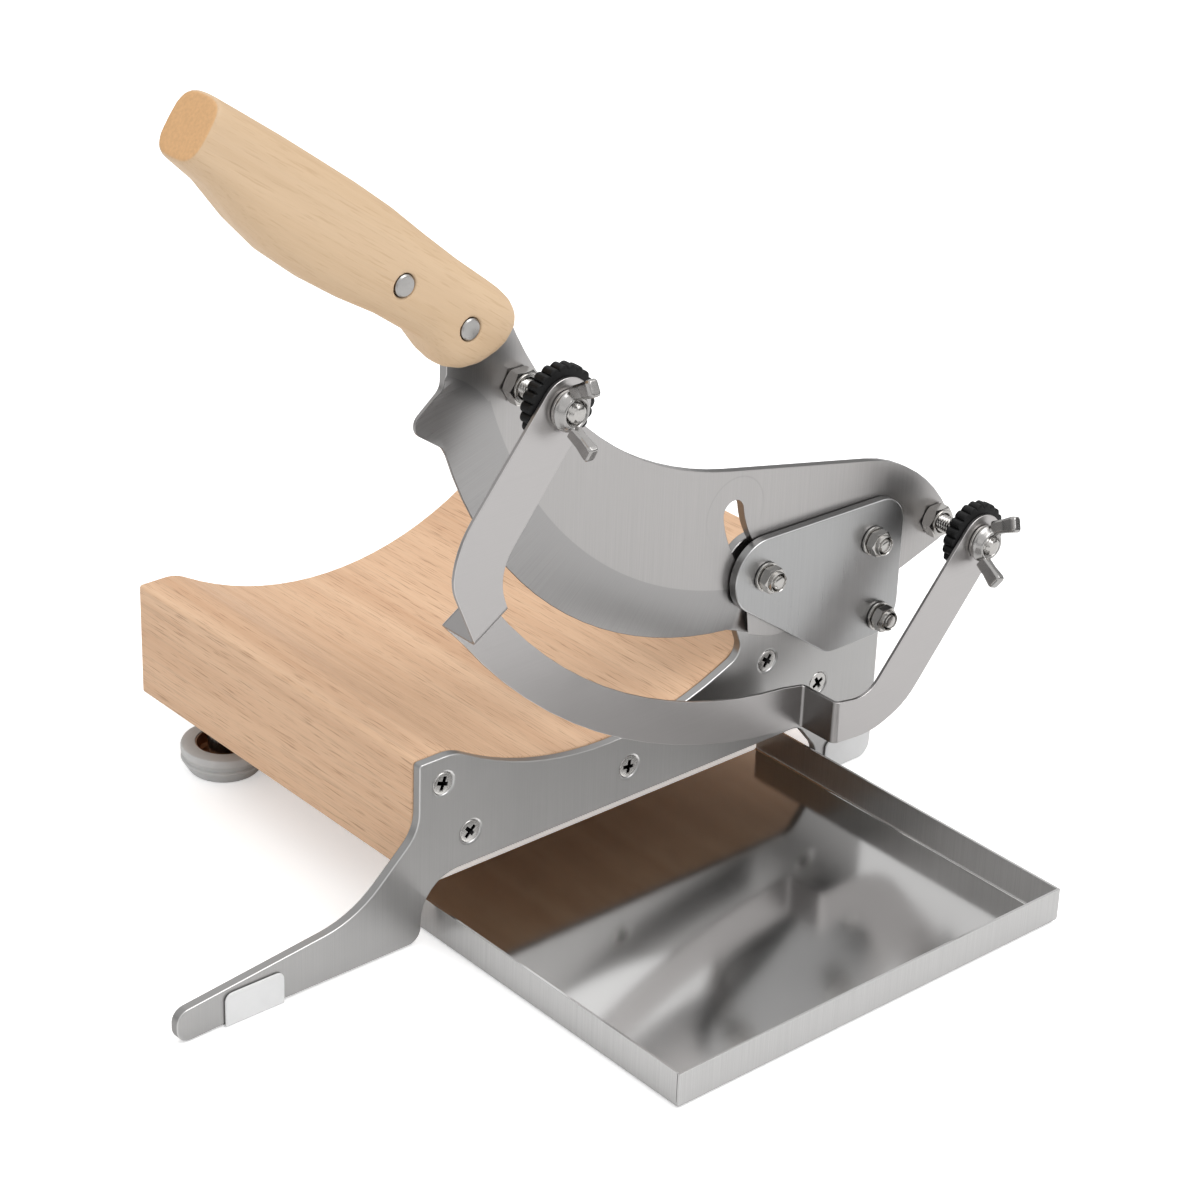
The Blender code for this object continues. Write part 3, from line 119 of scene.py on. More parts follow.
# Past this bearing the bevel ends on a second circle, which carries its line down to the spur
BEVEL_TURN = math.radians(-162.6)
SPUR_CENTRE = (-0.1892, 0.1545)
SPUR_RADIUS = 0.0362
HANDLE_FALL = math.radians(35.3)
# Faint ring that the bush's washer has rubbed round the top of the slot
RING_MARK = (-0.0598, 0.1128)
RING_MARK_RADIUS = 0.0121

# Gauge strip and its folds, from the pivot in X and Z: each fold's foot, head and side
GAUGE_SHEET = 0.0012
FOLDS = (
    ((-0.1817, 0.0271), (-0.1698, 0.0348), 1.0),
    ((-0.0296, -0.0577), (-0.0296, -0.0427), -1.0),
)
FOLD_OUTER = 0.0022
FOLD_INNER = 0.0010
FOLD_STEPS = 8
# Points of the bar's outline this near a fold's end are left out
FOLD_CLEAR = 0.0004
# Circle that runs between the bar's lower and upper outline
BAR_CENTRE = (PIVOT[0] - 0.02, PIVOT[1] + 0.136)
BAR_RADIUS = 0.185
# Radius of the holes round the studs
GAUGE_BORE = 0.0033
BORE_SIDES = 48

# Tray sheet, the outer radius of its bends, and the open seam at its front corners
TRAY_SHEET = 0.0008
TRAY_BEND = 0.0018
BEND_STEPS = 5
SEAM = 0.00022
SEAM_REACH = 2.4 * TRAY_SHEET

# Sides of a turned piece, and a square's corners in order
SIDES = 96
SQUARE = ((-1, -1), (1, -1), (1, 1), (-1, 1))

# Plate screws: Y of their faces, a hair below the plate's, the slack round a head, the shank's radius
# and the point's length
SCREW_FACE = 0.0002
SCREW_SLACK = 0.00022
SCREW_SHANK = 0.0020
SCREW_POINT = 0.004
# Edge of the head, from the rim and the face
SCREW_EDGE = ((-0.0006, 0.0), (-0.0002, 0.00008), (0.0, 0.0003))
# Cross recess: Y from the face, half length and half width, at its mouth and at its foot
CROSS = ((-0.0004, 0.0026, 0.00072), (0.0018, 0.0014, 0.00042))
# How far each screw happens to be turned, in degrees
SCREW_TURNS = (20.0, 48.0, 8.0, 35.0, 62.0)

# Rivets: edge of each head, from the rim and the face
RIVET_EDGE = ((-0.0009, 0.0), (-0.0004, 0.00008), (0.0, 0.0005))

# Slope of a hexagon's chamfer, and the chamfer of a nut's bore
HEX_CHAMFER = math.tan(math.radians(30.0))
BORE_CHAMFER = 0.0004

# Hinge bolts M5: rounded end in front, and countersunk head in the plate's back
BOLT_END = (
    (0.0, 0.0), (0.0010, 0.00003), (0.0017, 0.00016), (0.0021, 0.0004), (0.00235, 0.0009), (0.0025, 0.0014),
)
BOLT_HEAD = ((0.0025, -0.0021), (0.0046, 0.0), (0.0, 0.0))
HINGE_WASHER_BORE = 0.0028
# Lock nuts: the hexagon's flats, round face and length, and the collar in front of it
LOCK_NUT_FLATS = 0.0080
LOCK_NUT_FACE = 0.00385
LOCK_NUT_HEXAGON = 0.0034
LOCK_NUT_COLLAR = ((0.0027, 0.0009), (0.0029, 0.0003), (0.00315, 0.0), (0.0033, 0.0001), (0.00345, 0.0005))
COLLAR_FOOT = 0.0035
LOCK_NUT_BACK = ((0.0031, 0.0), (0.0027, -0.0004))

# Gauge studs M6: diameter, and pitch of the thread, the head, which is as wide as the nuts, and the end
STUD = 0.0060
STUD_PITCH = 0.0010
STUD_FLATS = 0.0100
STUD_HEAD = 0.0040
STUD_SIDES = 48
STUD_END = ((0.0, 0.0), (0.0014, 0.00004), (0.0021, 0.00022))
# Thread: where it starts behind the end, its depth, and its steps a turn
THREAD_START = 0.0007
THREAD_DEPTH = 0.00055
THREAD_STEPS = 8
# A nut's slack on its stud, its round face, and the raised ring in front
NUT_SLACK = 0.0002
NUT_FACE = 0.0048
NUT_RING = 0.0004
NUT_RING_EDGE = ((0.0044, 0.0), (0.0045, 0.0001))

# Knurled nuts: lobes from a foot circle to the rim, a rounded edge, a raised ring in front, a boss behind
LOBES = 22
LOBE_SIDES = 12
LOBE_DEPTH = 0.0012
LOBE_FULLNESS = 0.6
LOBE_FOOT = 0.0106
GRIP_EDGE = 0.0011
GRIP_FRONT = (
    (0.0032, 0.0), (0.0104, 0.0), (0.0108, 0.0001), (0.0114, 0.0001), (0.0119, 0.0002), (0.0123, 0.0005),
)
GRIP_BACK = (
    (0.0123, -0.0005), (0.0119, -0.0002), (0.0113, 0.0), (0.0062, 0.0), (0.0058, 0.0012), (0.0054, 0.0015),
    (0.0032, 0.0015),
)
CLAMP_WASHER_BORE = 0.0033

# Wing nuts: the hub from its back face, and each wing's root and tip as (Y from that face, way out)
WING_HUB = (
    (0.0031, 0.0), (0.0060, 0.0), (0.0064, -0.0003), (0.0064, -0.0009), (0.0058, -0.0014), (0.0049, -0.0030),
    (0.0046, -0.0033), (0.0041, -0.0033), (0.0031, -0.0022),
)
WING_ROOT = (-0.0018, 0.0058)
WING_TIP = (-0.0104, 0.0104)
# Each wing from root to tip: share of its length, width and thickness
WING_STATIONS = (
    (0.0, 0.0044, 0.0036), (0.45, 0.0046, 0.0031), (0.85, 0.0053, 0.0037), (0.96, 0.0050, 0.0034),
    (1.0, 0.0042, 0.0026),
)
# Their section, an oblong with its corners cut, in half thicknesses and half widths
WING_SECTION = ((-0.7, -1), (0.7, -1), (1, -0.7), (1, 0.7), (0.7, 1), (-0.7, 1), (-1, 0.7), (-1, -0.7))
WING_TURN = {"left": 0.0, "right": math.radians(20.0)}

# Grit that a skin is melted to, and strokes that smooth it: cast wing nuts and sanded handle
WING_GRIT = 0.00016
WING_STROKES = 6
HANDLE_GRIT = 0.00055
HANDLE_STROKES = 9

# Rear feet, whose Y is their height: the rubber's rim from its top outer edge, its underside from the
# table up into the well, and the steel cup in the well, whose lip lies below the rubber's top
WELL = 0.0098
FOOT_RIM = (
    (-0.0010, 0.0), (-0.0003, -0.0003), (0.0, -0.0010), (0.0, -0.0028), (-0.0002, -0.0031),
    (-0.0009, -0.0033), (-0.0009, -0.0047), (-0.0002, -0.0050), (0.0, -0.0053),
)
FOOT_UNDERSIDE = (
    (0.0122, 0.0003), (0.0119, 0.0), (0.0058, 0.0), (0.0058, 0.0017), (0.0033, 0.0017), (0.0033, 0.0034),
    (0.0094, 0.0034), (WELL, 0.0038),
)
CUP_OUTSIDE = ((0.0056, 0.0036), (0.0086, 0.0036), (0.0092, 0.0040), (0.0096, 0.0048))
CUP_INSIDE = ((0.0092, 0.0050), (0.0088, 0.0044), (0.0084, 0.0040), (0.0056, 0.0040))
CUP_LIP = (0.0096, 0.0093)
CUP_DROP = 0.0004


# Small workshop

def link(piece):
    scene.collection.objects.link(piece)
    return piece


def new_piece(name, mesh):
    return link(bpy.data.objects.new(name, mesh))


def mesh_from(name, points, faces):
    mesh = bpy.data.meshes.new(name)
    mesh.from_pydata(points, [], faces)
    return mesh


def opened(mesh):
    form = bmesh.new()
    form.from_mesh(mesh)
    return form


def welded(mesh):
    """A mesh opened for editing, with its doubles merged."""
    form = opened(mesh)
    bmesh.ops.remove_doubles(form, verts=form.verts, dist=WELD)
    return form


def put_back(form, piece):
    form.to_mesh(piece.data)
    form.free()
    return piece


def piece_of(form, name):
    return put_back(form, new_piece(name, bpy.data.meshes.new(name)))


def closed(piece):
    """Welds a piece's seams and turns its faces outwards."""
    form = welded(piece.data)
    bmesh.ops.recalc_face_normals(form, faces=form.faces)
    return put_back(form, piece)


def smooth(piece, angle=CREASE):
    piece.data.shade_smooth()
    piece.data.set_sharp_from_angle(angle=angle)
    return piece


def kept(piece):
    """The piece with its modifiers worked in, as a plain mesh."""
    bpy.context.view_layer.update()
    graph = bpy.context.evaluated_depsgraph_get()
    mesh = bpy.data.meshes.new_from_object(piece.evaluated_get(graph), depsgraph=graph)
    piece.modifiers.clear()
    piece.data = mesh
    return piece


def cad_copy(node, name, flat=True):
    """A welded copy of a CAD node, with its flat faces in one piece again."""
    form = welded(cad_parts[node].data)
    if flat:
        bmesh.ops.dissolve_limit(form, angle_limit=FLAT_ENOUGH, verts=form.verts, edges=form.edges)
    piece = piece_of(form, name)
    layers = piece.data.attributes
    for spare in [layer.name for layer in layers if layer.name in ("custom_normal", "UVMap")]:
        layers.remove(layers[spare])
    return piece


def faces_at(form, y, slack):
    """Faces that lie flat at one Y, and their numbers."""
    form.faces.index_update()
    level = [face for face in form.faces if all(abs(vert.co.y - y) < slack for vert in face.verts)]
    return level, {face.index for face in level}


def relaid(piece, depth):
    """Lays the flat face at a depth along Y anew, because easing moved its seams across a hole's rim."""
    form = opened(piece.data)
    level, spots = faces_at(form, depth, WELD)
    side = 1.0 if max(level, key=lambda face: face.calc_area()).normal.y > 0.0 else -1.0
    seams, rim = [], []
    for edge in form.edges:
        within = [face.index in spots for face in edge.link_faces]
        if all(within):
            seams.append(edge)
        elif any(within):
            rim.append(edge)
    bmesh.ops.delete(form, geom=level, context="FACES_ONLY")
    bmesh.ops.delete(form, geom=seams, context="EDGES")
    made = bmesh.ops.triangle_fill(
        form, use_beauty=True, use_dissolve=True, edges=rim, normal=(0.0, side, 0.0))
    for face in made["geom"]:
        if isinstance(face, bmesh.types.BMFace):
            face.smooth = True
            face.normal_update()
            if face.normal.y * side < 0.0:
                face.normal_flip()
    return put_back(form, piece)


def eased(piece, width, segments=2, angle=CREASE, relay_at=None):
    """Rounds off every sharp edge and keeps the flat faces flat."""
    smooth(piece, angle)
    round_over = piece.modifiers.new("ease", "BEVEL")
    round_over.width = width
    round_over.segments = segments
    round_over.limit_method = "ANGLE"
    round_over.angle_limit = angle
    round_over.use_clamp_overlap = False
    round_over.loop_slide = False
    if relay_at is not None:
        relaid(kept(piece), relay_at)
    settle = piece.modifiers.new("settle", "WEIGHTED_NORMAL")
    settle.weight = 100
    settle.keep_sharp = True
    return kept(piece)


def melted(piece, grit, strokes):
    """Runs a piece's parts into one skin and smooths it, as casting or sanding does."""
    melt = piece.modifiers.new("melt", "REMESH")
    melt.mode = "VOXEL"
    melt.voxel_size = grit
    soften = piece.modifiers.new("soften", "SMOOTH")
    soften.factor = 0.5
    soften.iterations = strokes
    return smooth(kept(piece), SKIN_CREASE)


def cut_out(piece, *tools):
    """Cuts tools out of a piece; the tools go."""
    for tool in tools:
        cut = piece.modifiers.new("cut", "BOOLEAN")
        cut.object = tool
        cut.operation = "DIFFERENCE"
    kept(piece)
    for tool in tools:
        bpy.data.objects.remove(tool)
    return piece


def painted(piece, finish):
    piece.data.materials.clear()
    piece.data.materials.append(finish)


def done(piece, body, slot, finish, *nodes):
    """Paints a finished piece and hands it to its body in place of the CAD nodes."""
    painted(piece, finish)
    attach(piece, body)
    if nodes:
        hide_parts(*nodes)
    return piece


def centre(node):
    low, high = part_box(node)
    return ((low.x + high.x) / 2, (low.z + high.z) / 2)


def round_box(node):
    """A round node's radius, and the Y of its front and its back."""
    low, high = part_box(node)
    return (high.x - low.x) / 2, low.y, high.y


def from_face(profile, y, rim=0.0):
    """A table's profile at its place: Y from a face, and the radius from the axis or from a rim."""
    return [(rim + radius, y + depth) for radius, depth in profile]


def spun(name, rows, sides=SIDES):
    """A ring or a solid spun about the Y axis; a row is (radius, y), or a rule that gives it by angle."""
    points = []
    for row in rows:
        for i in range(sides):
            angle = 2.0 * math.pi * i / sides
            radius, y = row(angle) if callable(row) else row
            points.append((radius * math.cos(angle), y, radius * math.sin(angle)))
    faces = []
    for r in range(len(rows)):
        for i in range(sides):
            j = (i + 1) % sides
            below, above = r * sides, (r + 1) % len(rows) * sides
            faces.append((below + i, below + j, above + j, above + i))
    return closed(new_piece(name, mesh_from(name, points, faces)))


def rounded_run(inner, outer, low, high, ease):
    """A closed profile for a plain ring whose corners are eased."""
    step = ease * (1.0 - math.sqrt(0.5))
    return [
        (inner, low + ease), (inner + step, low + step), (inner + ease, low),
        (outer - ease, low), (outer - step, low + step), (outer, low + ease),
        (outer, high - ease), (outer - step, high - step), (outer - ease, high),
        (inner + ease, high), (inner + step, high - step), (inner, high - ease),
    ]


def hexagon_edge(flats):
    """How far a hexagon's side lies from its middle, by angle."""
    def reach(angle):
        return flats / 2.0 / math.cos(angle % (math.pi / 3.0) - math.pi / 6.0)
    return reach


def hexagon_rows(flats, face, front, back):
    """Rows of a hexagon from front to back, its corners chamfered down to a round face at each end."""
    reach = hexagon_edge(flats)

    def fall(angle):
        return (reach(angle) - face) * HEX_CHAMFER

    return [(face, front), lambda angle: (reach(angle), front + fall(angle)),
            lambda angle: (reach(angle), back - fall(angle)), (face, back)]


# Node trees

def maths(tree, operation, *values, clamp=False):
    node = tree.nodes.new("ShaderNodeMath")
    node.operation = operation
    node.use_clamp = clamp
    for socket, value in zip(node.inputs, values):
        feed(tree, socket, value)
    return node.outputs[0]


def vectors(tree, operation, *values, scale=None):
    node = tree.nodes.new("ShaderNodeVectorMath")
    node.operation = operation
    for socket, value in zip(node.inputs, values):
        feed(tree, socket, value)
    if scale is not None:
        feed(tree, node.inputs["Scale"], scale)
    return node.outputs["Value"] if operation in ("LENGTH", "DOT_PRODUCT") else node.outputs[0]


def off_axis(tree, place):
    """Distance of a place from the Y axis."""
    return vectors(tree, "LENGTH", vectors(tree, "MULTIPLY", place, (1.0, 0.0, 1.0)))


def feed(tree, socket, value):
    if isinstance(value, bpy.types.NodeSocket):
        tree.links.new(value, socket)
    else:
        socket.default_value = value


def axes(tree, vector):
    split = tree.nodes.new("ShaderNodeSeparateXYZ")
    tree.links.new(vector, split.inputs[0])
    return tuple(split.outputs)


def geometry_tree(name, *sockets):
    tree = bpy.data.node_groups.new(name, "GeometryNodeTree")
    tree.interface.new_socket("Geometry", in_out="INPUT", socket_type="NodeSocketGeometry")
    for label, kind in sockets + (("Finish", "Material"),):
        tree.interface.new_socket(label, in_out="INPUT", socket_type="NodeSocket" + kind)
    tree.interface.new_socket("Geometry", in_out="OUTPUT", socket_type="NodeSocketGeometry")
    return tree, tree.nodes.new("NodeGroupInput").outputs


def tree_end(tree, shape, finish):
    real = tree.nodes.new("GeometryNodeRealizeInstances")
    paint = tree.nodes.new("GeometryNodeSetMaterial")
    end = tree.nodes.new("NodeGroupOutput")
    tree.links.new(shape, real.inputs[0])
    tree.links.new(real.outputs[0], paint.inputs["Geometry"])
    tree.links.new(finish, paint.inputs["Material"])
    tree.links.new(paint.outputs[0], end.inputs[0])
    return tree


def radial_pull(tree, given, depth):
    """Moves each point of the shape towards the Y axis by the depth given for it."""
    place = tree.nodes.new("GeometryNodeInputPosition").outputs[0]
    inward = vectors(tree, "NORMALIZE", vectors(tree, "MULTIPLY", place, (-1.0, 0.0, -1.0)))
    move = tree.nodes.new("GeometryNodeSetPosition")
    tree.links.new(given["Geometry"], move.inputs["Geometry"])
    tree.links.new(vectors(tree, "SCALE", inward, scale=depth), move.inputs["Offset"])
    return move.outputs[0]


def round_place(tree):
    """Distance from the Y axis, angle about it, and Y."""
    place = tree.nodes.new("GeometryNodeInputPosition").outputs[0]
    x, y, z = axes(tree, place)
    return off_axis(tree, place), maths(tree, "ARCTAN2", z, x), y


def thread_tree():
    """Cuts a V thread round a turned blank; the cut fades where the blank is chamfered."""
    tree, given = geometry_tree(
        "screw_thread", ("Pitch", "Float"), ("Depth", "Float"), ("Root Radius", "Float"))
    radius, angle, y = round_place(tree)
    turns = maths(tree, "DIVIDE", angle, 2.0 * math.pi)
    phase = maths(tree, "FRACT", maths(tree, "ADD", maths(tree, "DIVIDE", y, given["Pitch"]), turns))
    ridge = maths(tree, "ABSOLUTE", maths(tree, "MULTIPLY_ADD", phase, 2.0, -1.0))
    groove = maths(tree, "SUBTRACT", 1.0, ridge)
    stock = maths(tree, "SUBTRACT", radius, given["Root Radius"])
    bite = maths(tree, "DIVIDE", stock, given["Depth"], clamp=True)
    depth = maths(tree, "MULTIPLY", maths(tree, "MULTIPLY", groove, given["Depth"]), bite)
    return tree_end(tree, radial_pull(tree, given, depth), given["Finish"])


def lobe_tree():
    """Pulls the wall of a round blank in between evenly spaced lobes."""
    tree, given = geometry_tree("grip_lobes", ("Lobes", "Float"), ("Depth", "Float"), ("Fullness", "Float"),
                                ("Inner Radius", "Float"), ("Outer Radius", "Float"))
    radius, angle = round_place(tree)[:2]
    swing = maths(tree, "MULTIPLY", maths(tree, "MULTIPLY", angle, given["Lobes"]), 0.5)
    bulge = maths(tree, "POWER", maths(tree, "ABSOLUTE", maths(tree, "SINE", swing)), given["Fullness"])
    wall = maths(tree, "SUBTRACT", given["Outer Radius"], given["Inner Radius"])
    reach = maths(tree, "DIVIDE", maths(tree, "SUBTRACT", radius, given["Inner Radius"]), wall, clamp=True)
    hollow = maths(tree, "MULTIPLY", maths(tree, "SUBTRACT", 1.0, bulge), given["Depth"])
    depth = maths(tree, "MULTIPLY", hollow, reach)
    return tree_end(tree, radial_pull(tree, given, depth), given["Finish"])


def copies_tree():
    """Sets a copy of one master at each point, turned about Y by the point's own turn."""
    tree, given = geometry_tree("placed_copies", ("Master", "Object"))
    source = tree.nodes.new("GeometryNodeObjectInfo")
    turn = tree.nodes.new("GeometryNodeInputNamedAttribute")
    turn.data_type = "FLOAT"
    turn.inputs["Name"].default_value = "turn"
    about = tree.nodes.new("ShaderNodeCombineXYZ")
    place = tree.nodes.new("GeometryNodeInstanceOnPoints")
    tree.links.new(given["Master"], source.inputs["Object"])
    tree.links.new(turn.outputs[0], about.inputs["Y"])
    tree.links.new(given["Geometry"], place.inputs["Points"])
    tree.links.new(source.outputs["Geometry"], place.inputs["Instance"])
    tree.links.new(about.outputs[0], place.inputs["Rotation"])
    return tree_end(tree, place.outputs[0], given["Finish"])


def grown(piece, tree, crease=CREASE, **values):
    """Runs a tree on a piece, its inputs named with underscores for spaces, and keeps the plain mesh."""
    wanted = {label.replace("_", " ").title(): value for label, value in values.items()}
    modifier = piece.modifiers.new(tree.name, "NODES")
    modifier.node_group = tree
    for socket in tree.interface.items_tree:
        if socket.in_out == "INPUT" and socket.name in wanted:
            modifier[socket.identifier] = wanted[socket.name]
    return smooth(kept(piece), crease)


def set_out(name, master, places, body, slot, finish, *nodes, crease=CREASE):
    """Copies of a master at (x, z, turn) places, finished as one piece; the master goes."""
    mesh = mesh_from(name, [(x, 0.0, z) for x, z, turn in places], [])
    turns = mesh.attributes.new("turn", "FLOAT", "POINT")
    turns.data.foreach_set("value", [math.radians(turn) for x, z, turn in places])
    piece = grown(new_piece(name, mesh), COPIES, crease, master=master, finish=finish)
    bpy.data.objects.remove(master)
    return done(piece, body, slot, finish, *nodes)


# Finishes

def finish_named(name, roughness, metallic=0.0, **constants):
    finish = bpy.data.materials.new(name)
    finish.use_nodes = True
    tree = finish.node_tree
    shader = tree.nodes["Principled BSDF"]
    shader.inputs["Roughness"].default_value = roughness
    shader.inputs["Metallic"].default_value = metallic
    for label, value in constants.items():
        shader.inputs[label.replace("_", " ")].default_value = value
    return finish, tree, shader


def object_place(tree, stretch=(1.0, 1.0, 1.0), turn=(0.0, 0.0, 0.0), shift=(0.0, 0.0, 0.0)):
    """Object coordinates, moved, turned and then stretched to one over each scale."""
    source = tree.nodes.new("ShaderNodeTexCoord")
    mapping = tree.nodes.new("ShaderNodeMapping")
    mapping.vector_type = "TEXTURE"
    mapping.inputs["Location"].default_value = shift
    mapping.inputs["Rotation"].default_value = turn
    mapping.inputs["Scale"].default_value = stretch
    tree.links.new(source.outputs["Object"], mapping.inputs["Vector"])
    return mapping.outputs[0]


def even(size):
    return (size, size, size)


def place_from(tree, spot):
    """Object coordinates from a spot in X and Z."""
    return object_place(tree, shift=(spot[0], 0.0, spot[1]))


def facing(tree, axis):
    """How squarely the surface faces along an axis of the piece, either way round."""
    normal = tree.nodes.new("ShaderNodeTexCoord").outputs["Normal"]
    return maths(tree, "ABSOLUTE", vectors(tree, "DOT_PRODUCT", normal, axis))


def noise(tree, place, detail=3.0, roughness=0.55, distortion=0.0):
    node = tree.nodes.new("ShaderNodeTexNoise")
    node.inputs["Scale"].default_value = 1.0
    node.inputs["Detail"].default_value = detail
    node.inputs["Roughness"].default_value = roughness
    node.inputs["Distortion"].default_value = distortion
    tree.links.new(place, node.inputs["Vector"])
    return node.outputs["Fac"]


def ranged(tree, value, low, high, to_low=0.0, to_high=1.0):
    node = tree.nodes.new("ShaderNodeMapRange")
    feed(tree, node.inputs["Value"], value)
    for label, number in (("From Min", low), ("From Max", high), ("To Min", to_low), ("To Max", to_high)):
        node.inputs[label].default_value = number
    return node.outputs["Result"]


def tinted(tree, share, first, second):
    node = tree.nodes.new("ShaderNodeMix")
    node.data_type = "RGBA"
    feed(tree, node.inputs["Factor"], share)
    for socket, colour in zip((node.inputs[6], node.inputs[7]), (first, second)):
        if isinstance(colour, bpy.types.NodeSocket):
            tree.links.new(colour, socket)
        else:
            socket.default_value = (*colour, 1.0)
    return node.outputs[2]


def shade_of(colour, factor):
    return tuple(channel * factor for channel in colour)


def varied(tree, share, colour, dark, light):
    """A colour between two shades of itself."""
    return tinted(tree, share, shade_of(colour, dark), shade_of(colour, light))


def surfaced(tree, shader, colour, rough, height, distance):
    """Links a finish's colour, roughness and relief."""
    bump = tree.nodes.new("ShaderNodeBump")
    bump.inputs["Strength"].default_value = 1.0
    bump.inputs["Distance"].default_value = distance
    tree.links.new(height, bump.inputs["Height"])
    for label, source in (("Base Color", colour), ("Roughness", rough), ("Normal", bump.outputs[0])):
        tree.links.new(source, shader.inputs[label])


def painted_edge_light(tree, steel, colour, face):
    """Paints shade on the sawn edges of a sheet that lies across Y and on its turned faces further back, and
    paints a highlight on the line where its face turns.
    """
    square = facing(tree, (0.0, 1.0, 0.0))
    sawn_edge_shade = ranged(tree, square, 0.25, 0.45, 1.0, 0.0)
    turned = maths(tree, "MULTIPLY", ranged(tree, square, 0.45, 0.60),
                   ranged(tree, square, 0.88, 0.97, 1.0, 0.0))
    y = axes(tree, object_place(tree))[1]
    depth = ranged(tree, y, *(face + depth for depth in RIM_DEPTHS))
    # Painted highlight along the front rim, painted shade on turned faces further back
    painted_highlight = maths(tree, "MULTIPLY", turned, maths(tree, "SUBTRACT", 1.0, depth))
    painted_shade = maths(tree, "MULTIPLY", turned, depth)
    cut = tinted(tree, painted_shade, tinted(tree, sawn_edge_shade, steel, shade_of(colour, 0.66)), shade_of(colour, 0.35))
    return tinted(tree, painted_highlight, cut, shade_of(colour, 1.3))


def brushed_steel(name, colour, roughness, along, face, contrast=0.09):
    """Steel brushed in fine lines along one axis, with soft clouding."""
    finish, tree, shader = finish_named(name, roughness, 1.0)
    stretch = tuple(LINE_RUN if axis == along else LINE for axis in "XYZ")
    lines = noise(tree, object_place(tree, stretch), detail=4.0, roughness=0.7)
    clouds = noise(tree, object_place(tree, even(CLOUD)), detail=2.0)
    tone = maths(tree, "MULTIPLY_ADD", clouds, 0.35, maths(tree, "MULTIPLY", lines, 0.65))
    steel = varied(tree, ranged(tree, tone, *MOST), colour, 1.0 - contrast, 1.0 + contrast)
    rough = ranged(tree, tone, 0.25, 0.75, roughness - 0.06, roughness + 0.06)
    # Edges: painted shade on the sawn sides and back rims, a painted highlight along the front rim
    surfaced(tree, shader, painted_edge_light(tree, steel, colour, face), rough, lines, LINE_DEPTH)
    return finish


def rolled_steel(name, colour, floor_roughness, wall_roughness):
    """Cold-rolled sheet: the floor keeps the rolled mirror, the folded walls are brushed."""
    finish, tree, shader = finish_named(name, wall_roughness, 1.0)
    along = noise(tree, object_place(tree, (LINE, LINE_RUN, LINE_RUN)), detail=3.0, roughness=0.6)
    upright = noise(tree, object_place(tree, (LINE, LINE, LINE_RUN)), detail=3.0, roughness=0.6)
    clouds = noise(tree, object_place(tree, even(CLOUD)), detail=2.0)
    level = ranged(tree, facing(tree, (0.0, 0.0, 1.0)), 0.5, 0.9)
    walls = varied(tree, ranged(tree, upright, *MOST), colour, 0.93, 1.07)
    base = varied(tree, clouds, colour, 0.97, 1.03)
    rough = maths(tree, "MULTIPLY_ADD", clouds, 0.05,
                  ranged(tree, level, 0.0, 1.0, wall_roughness - 0.025, floor_roughness - 0.025))
    surfaced(tree, shader, tinted(tree, level, walls, base), rough, along, ROLLED_DEPTH)
    return finish


def knife_steel():
    """Brushed steel whose ground bevel is darker, with grinding lines that run across the edge."""
    flat = (0.41, 0.398, 0.392)
    ground = (0.34, 0.333, 0.33)
    finish, tree, shader = finish_named("knife_steel", 0.30, 1.0)
    lines = noise(tree, object_place(tree, (LINE, LINE, LINE_RUN)), detail=4.0, roughness=0.7)
    place = place_from(tree, BEVEL_CENTRE)
    x, z = axes(tree, place)[::2]
    radius = off_axis(tree, place)
    angle = maths(tree, "ARCTAN2", z, x)
    wide = tree.nodes.new("ShaderNodeCombineXYZ")
    tree.links.new(maths(tree, "MULTIPLY", angle, BEVEL_RADIUS / LINE * 1.5), wide.inputs[0])
    tree.links.new(maths(tree, "DIVIDE", radius, LINE_RUN), wide.inputs[1])
    grind = noise(tree, wide.outputs[0], detail=3.0, roughness=0.65)
    past = ranged(tree, radius, BEVEL_RADIUS - HAIR, BEVEL_RADIUS + HAIR)
    heel = ranged(tree, angle, BEVEL_HEEL, BEVEL_HEEL + 0.004, 1.0, 0.0)
    spur = off_axis(tree, place_from(tree, SPUR_CENTRE))
    toe = maths(tree, "MAXIMUM", ranged(tree, angle, BEVEL_TURN - 0.001, BEVEL_TURN),
                ranged(tree, spur, SPUR_RADIUS - HAIR, SPUR_RADIUS + HAIR, 1.0, 0.0))
    normal = tree.nodes.new("ShaderNodeTexCoord").outputs["Normal"]
    front = ranged(tree, vectors(tree, "DOT_PRODUCT", normal, (0.0, -1.0, 0.0)), 0.0, 0.2)
    ends = maths(tree, "MULTIPLY", heel, toe)
    bevel = maths(tree, "MULTIPLY", maths(tree, "MULTIPLY", past, ends), front)
    face = varied(tree, ranged(tree, lines, *MOST), flat, 0.93, 1.07)
    cut = varied(tree, ranged(tree, grind, *MOST), ground, 0.91, 1.09)
    mark = place_from(tree, RING_MARK)
    off = maths(tree, "ABSOLUTE", maths(tree, "SUBTRACT", off_axis(tree, mark), RING_MARK_RADIUS))
    worn = maths(tree, "MULTIPLY", ranged(tree, off, HAIR, 4 * HAIR, 0.16, 0.0),
                 ranged(tree, axes(tree, mark)[2], -0.010, 0.004))
    marked = tinted(tree, worn, tinted(tree, bevel, face, cut), shade_of(flat, 0.45))
    mixed = maths(tree, "MULTIPLY_ADD", bevel, maths(tree, "SUBTRACT", grind, lines), lines)
    # Edges: painted shade on the sawn sides and back rims, a painted highlight along the front rim
    surfaced(tree, shader, painted_edge_light(tree, marked, flat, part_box("blade")[0].y),
             ranged(tree, mixed, 0.25, 0.75, 0.27, 0.37), mixed, GROUND_DEPTH)
    return finish


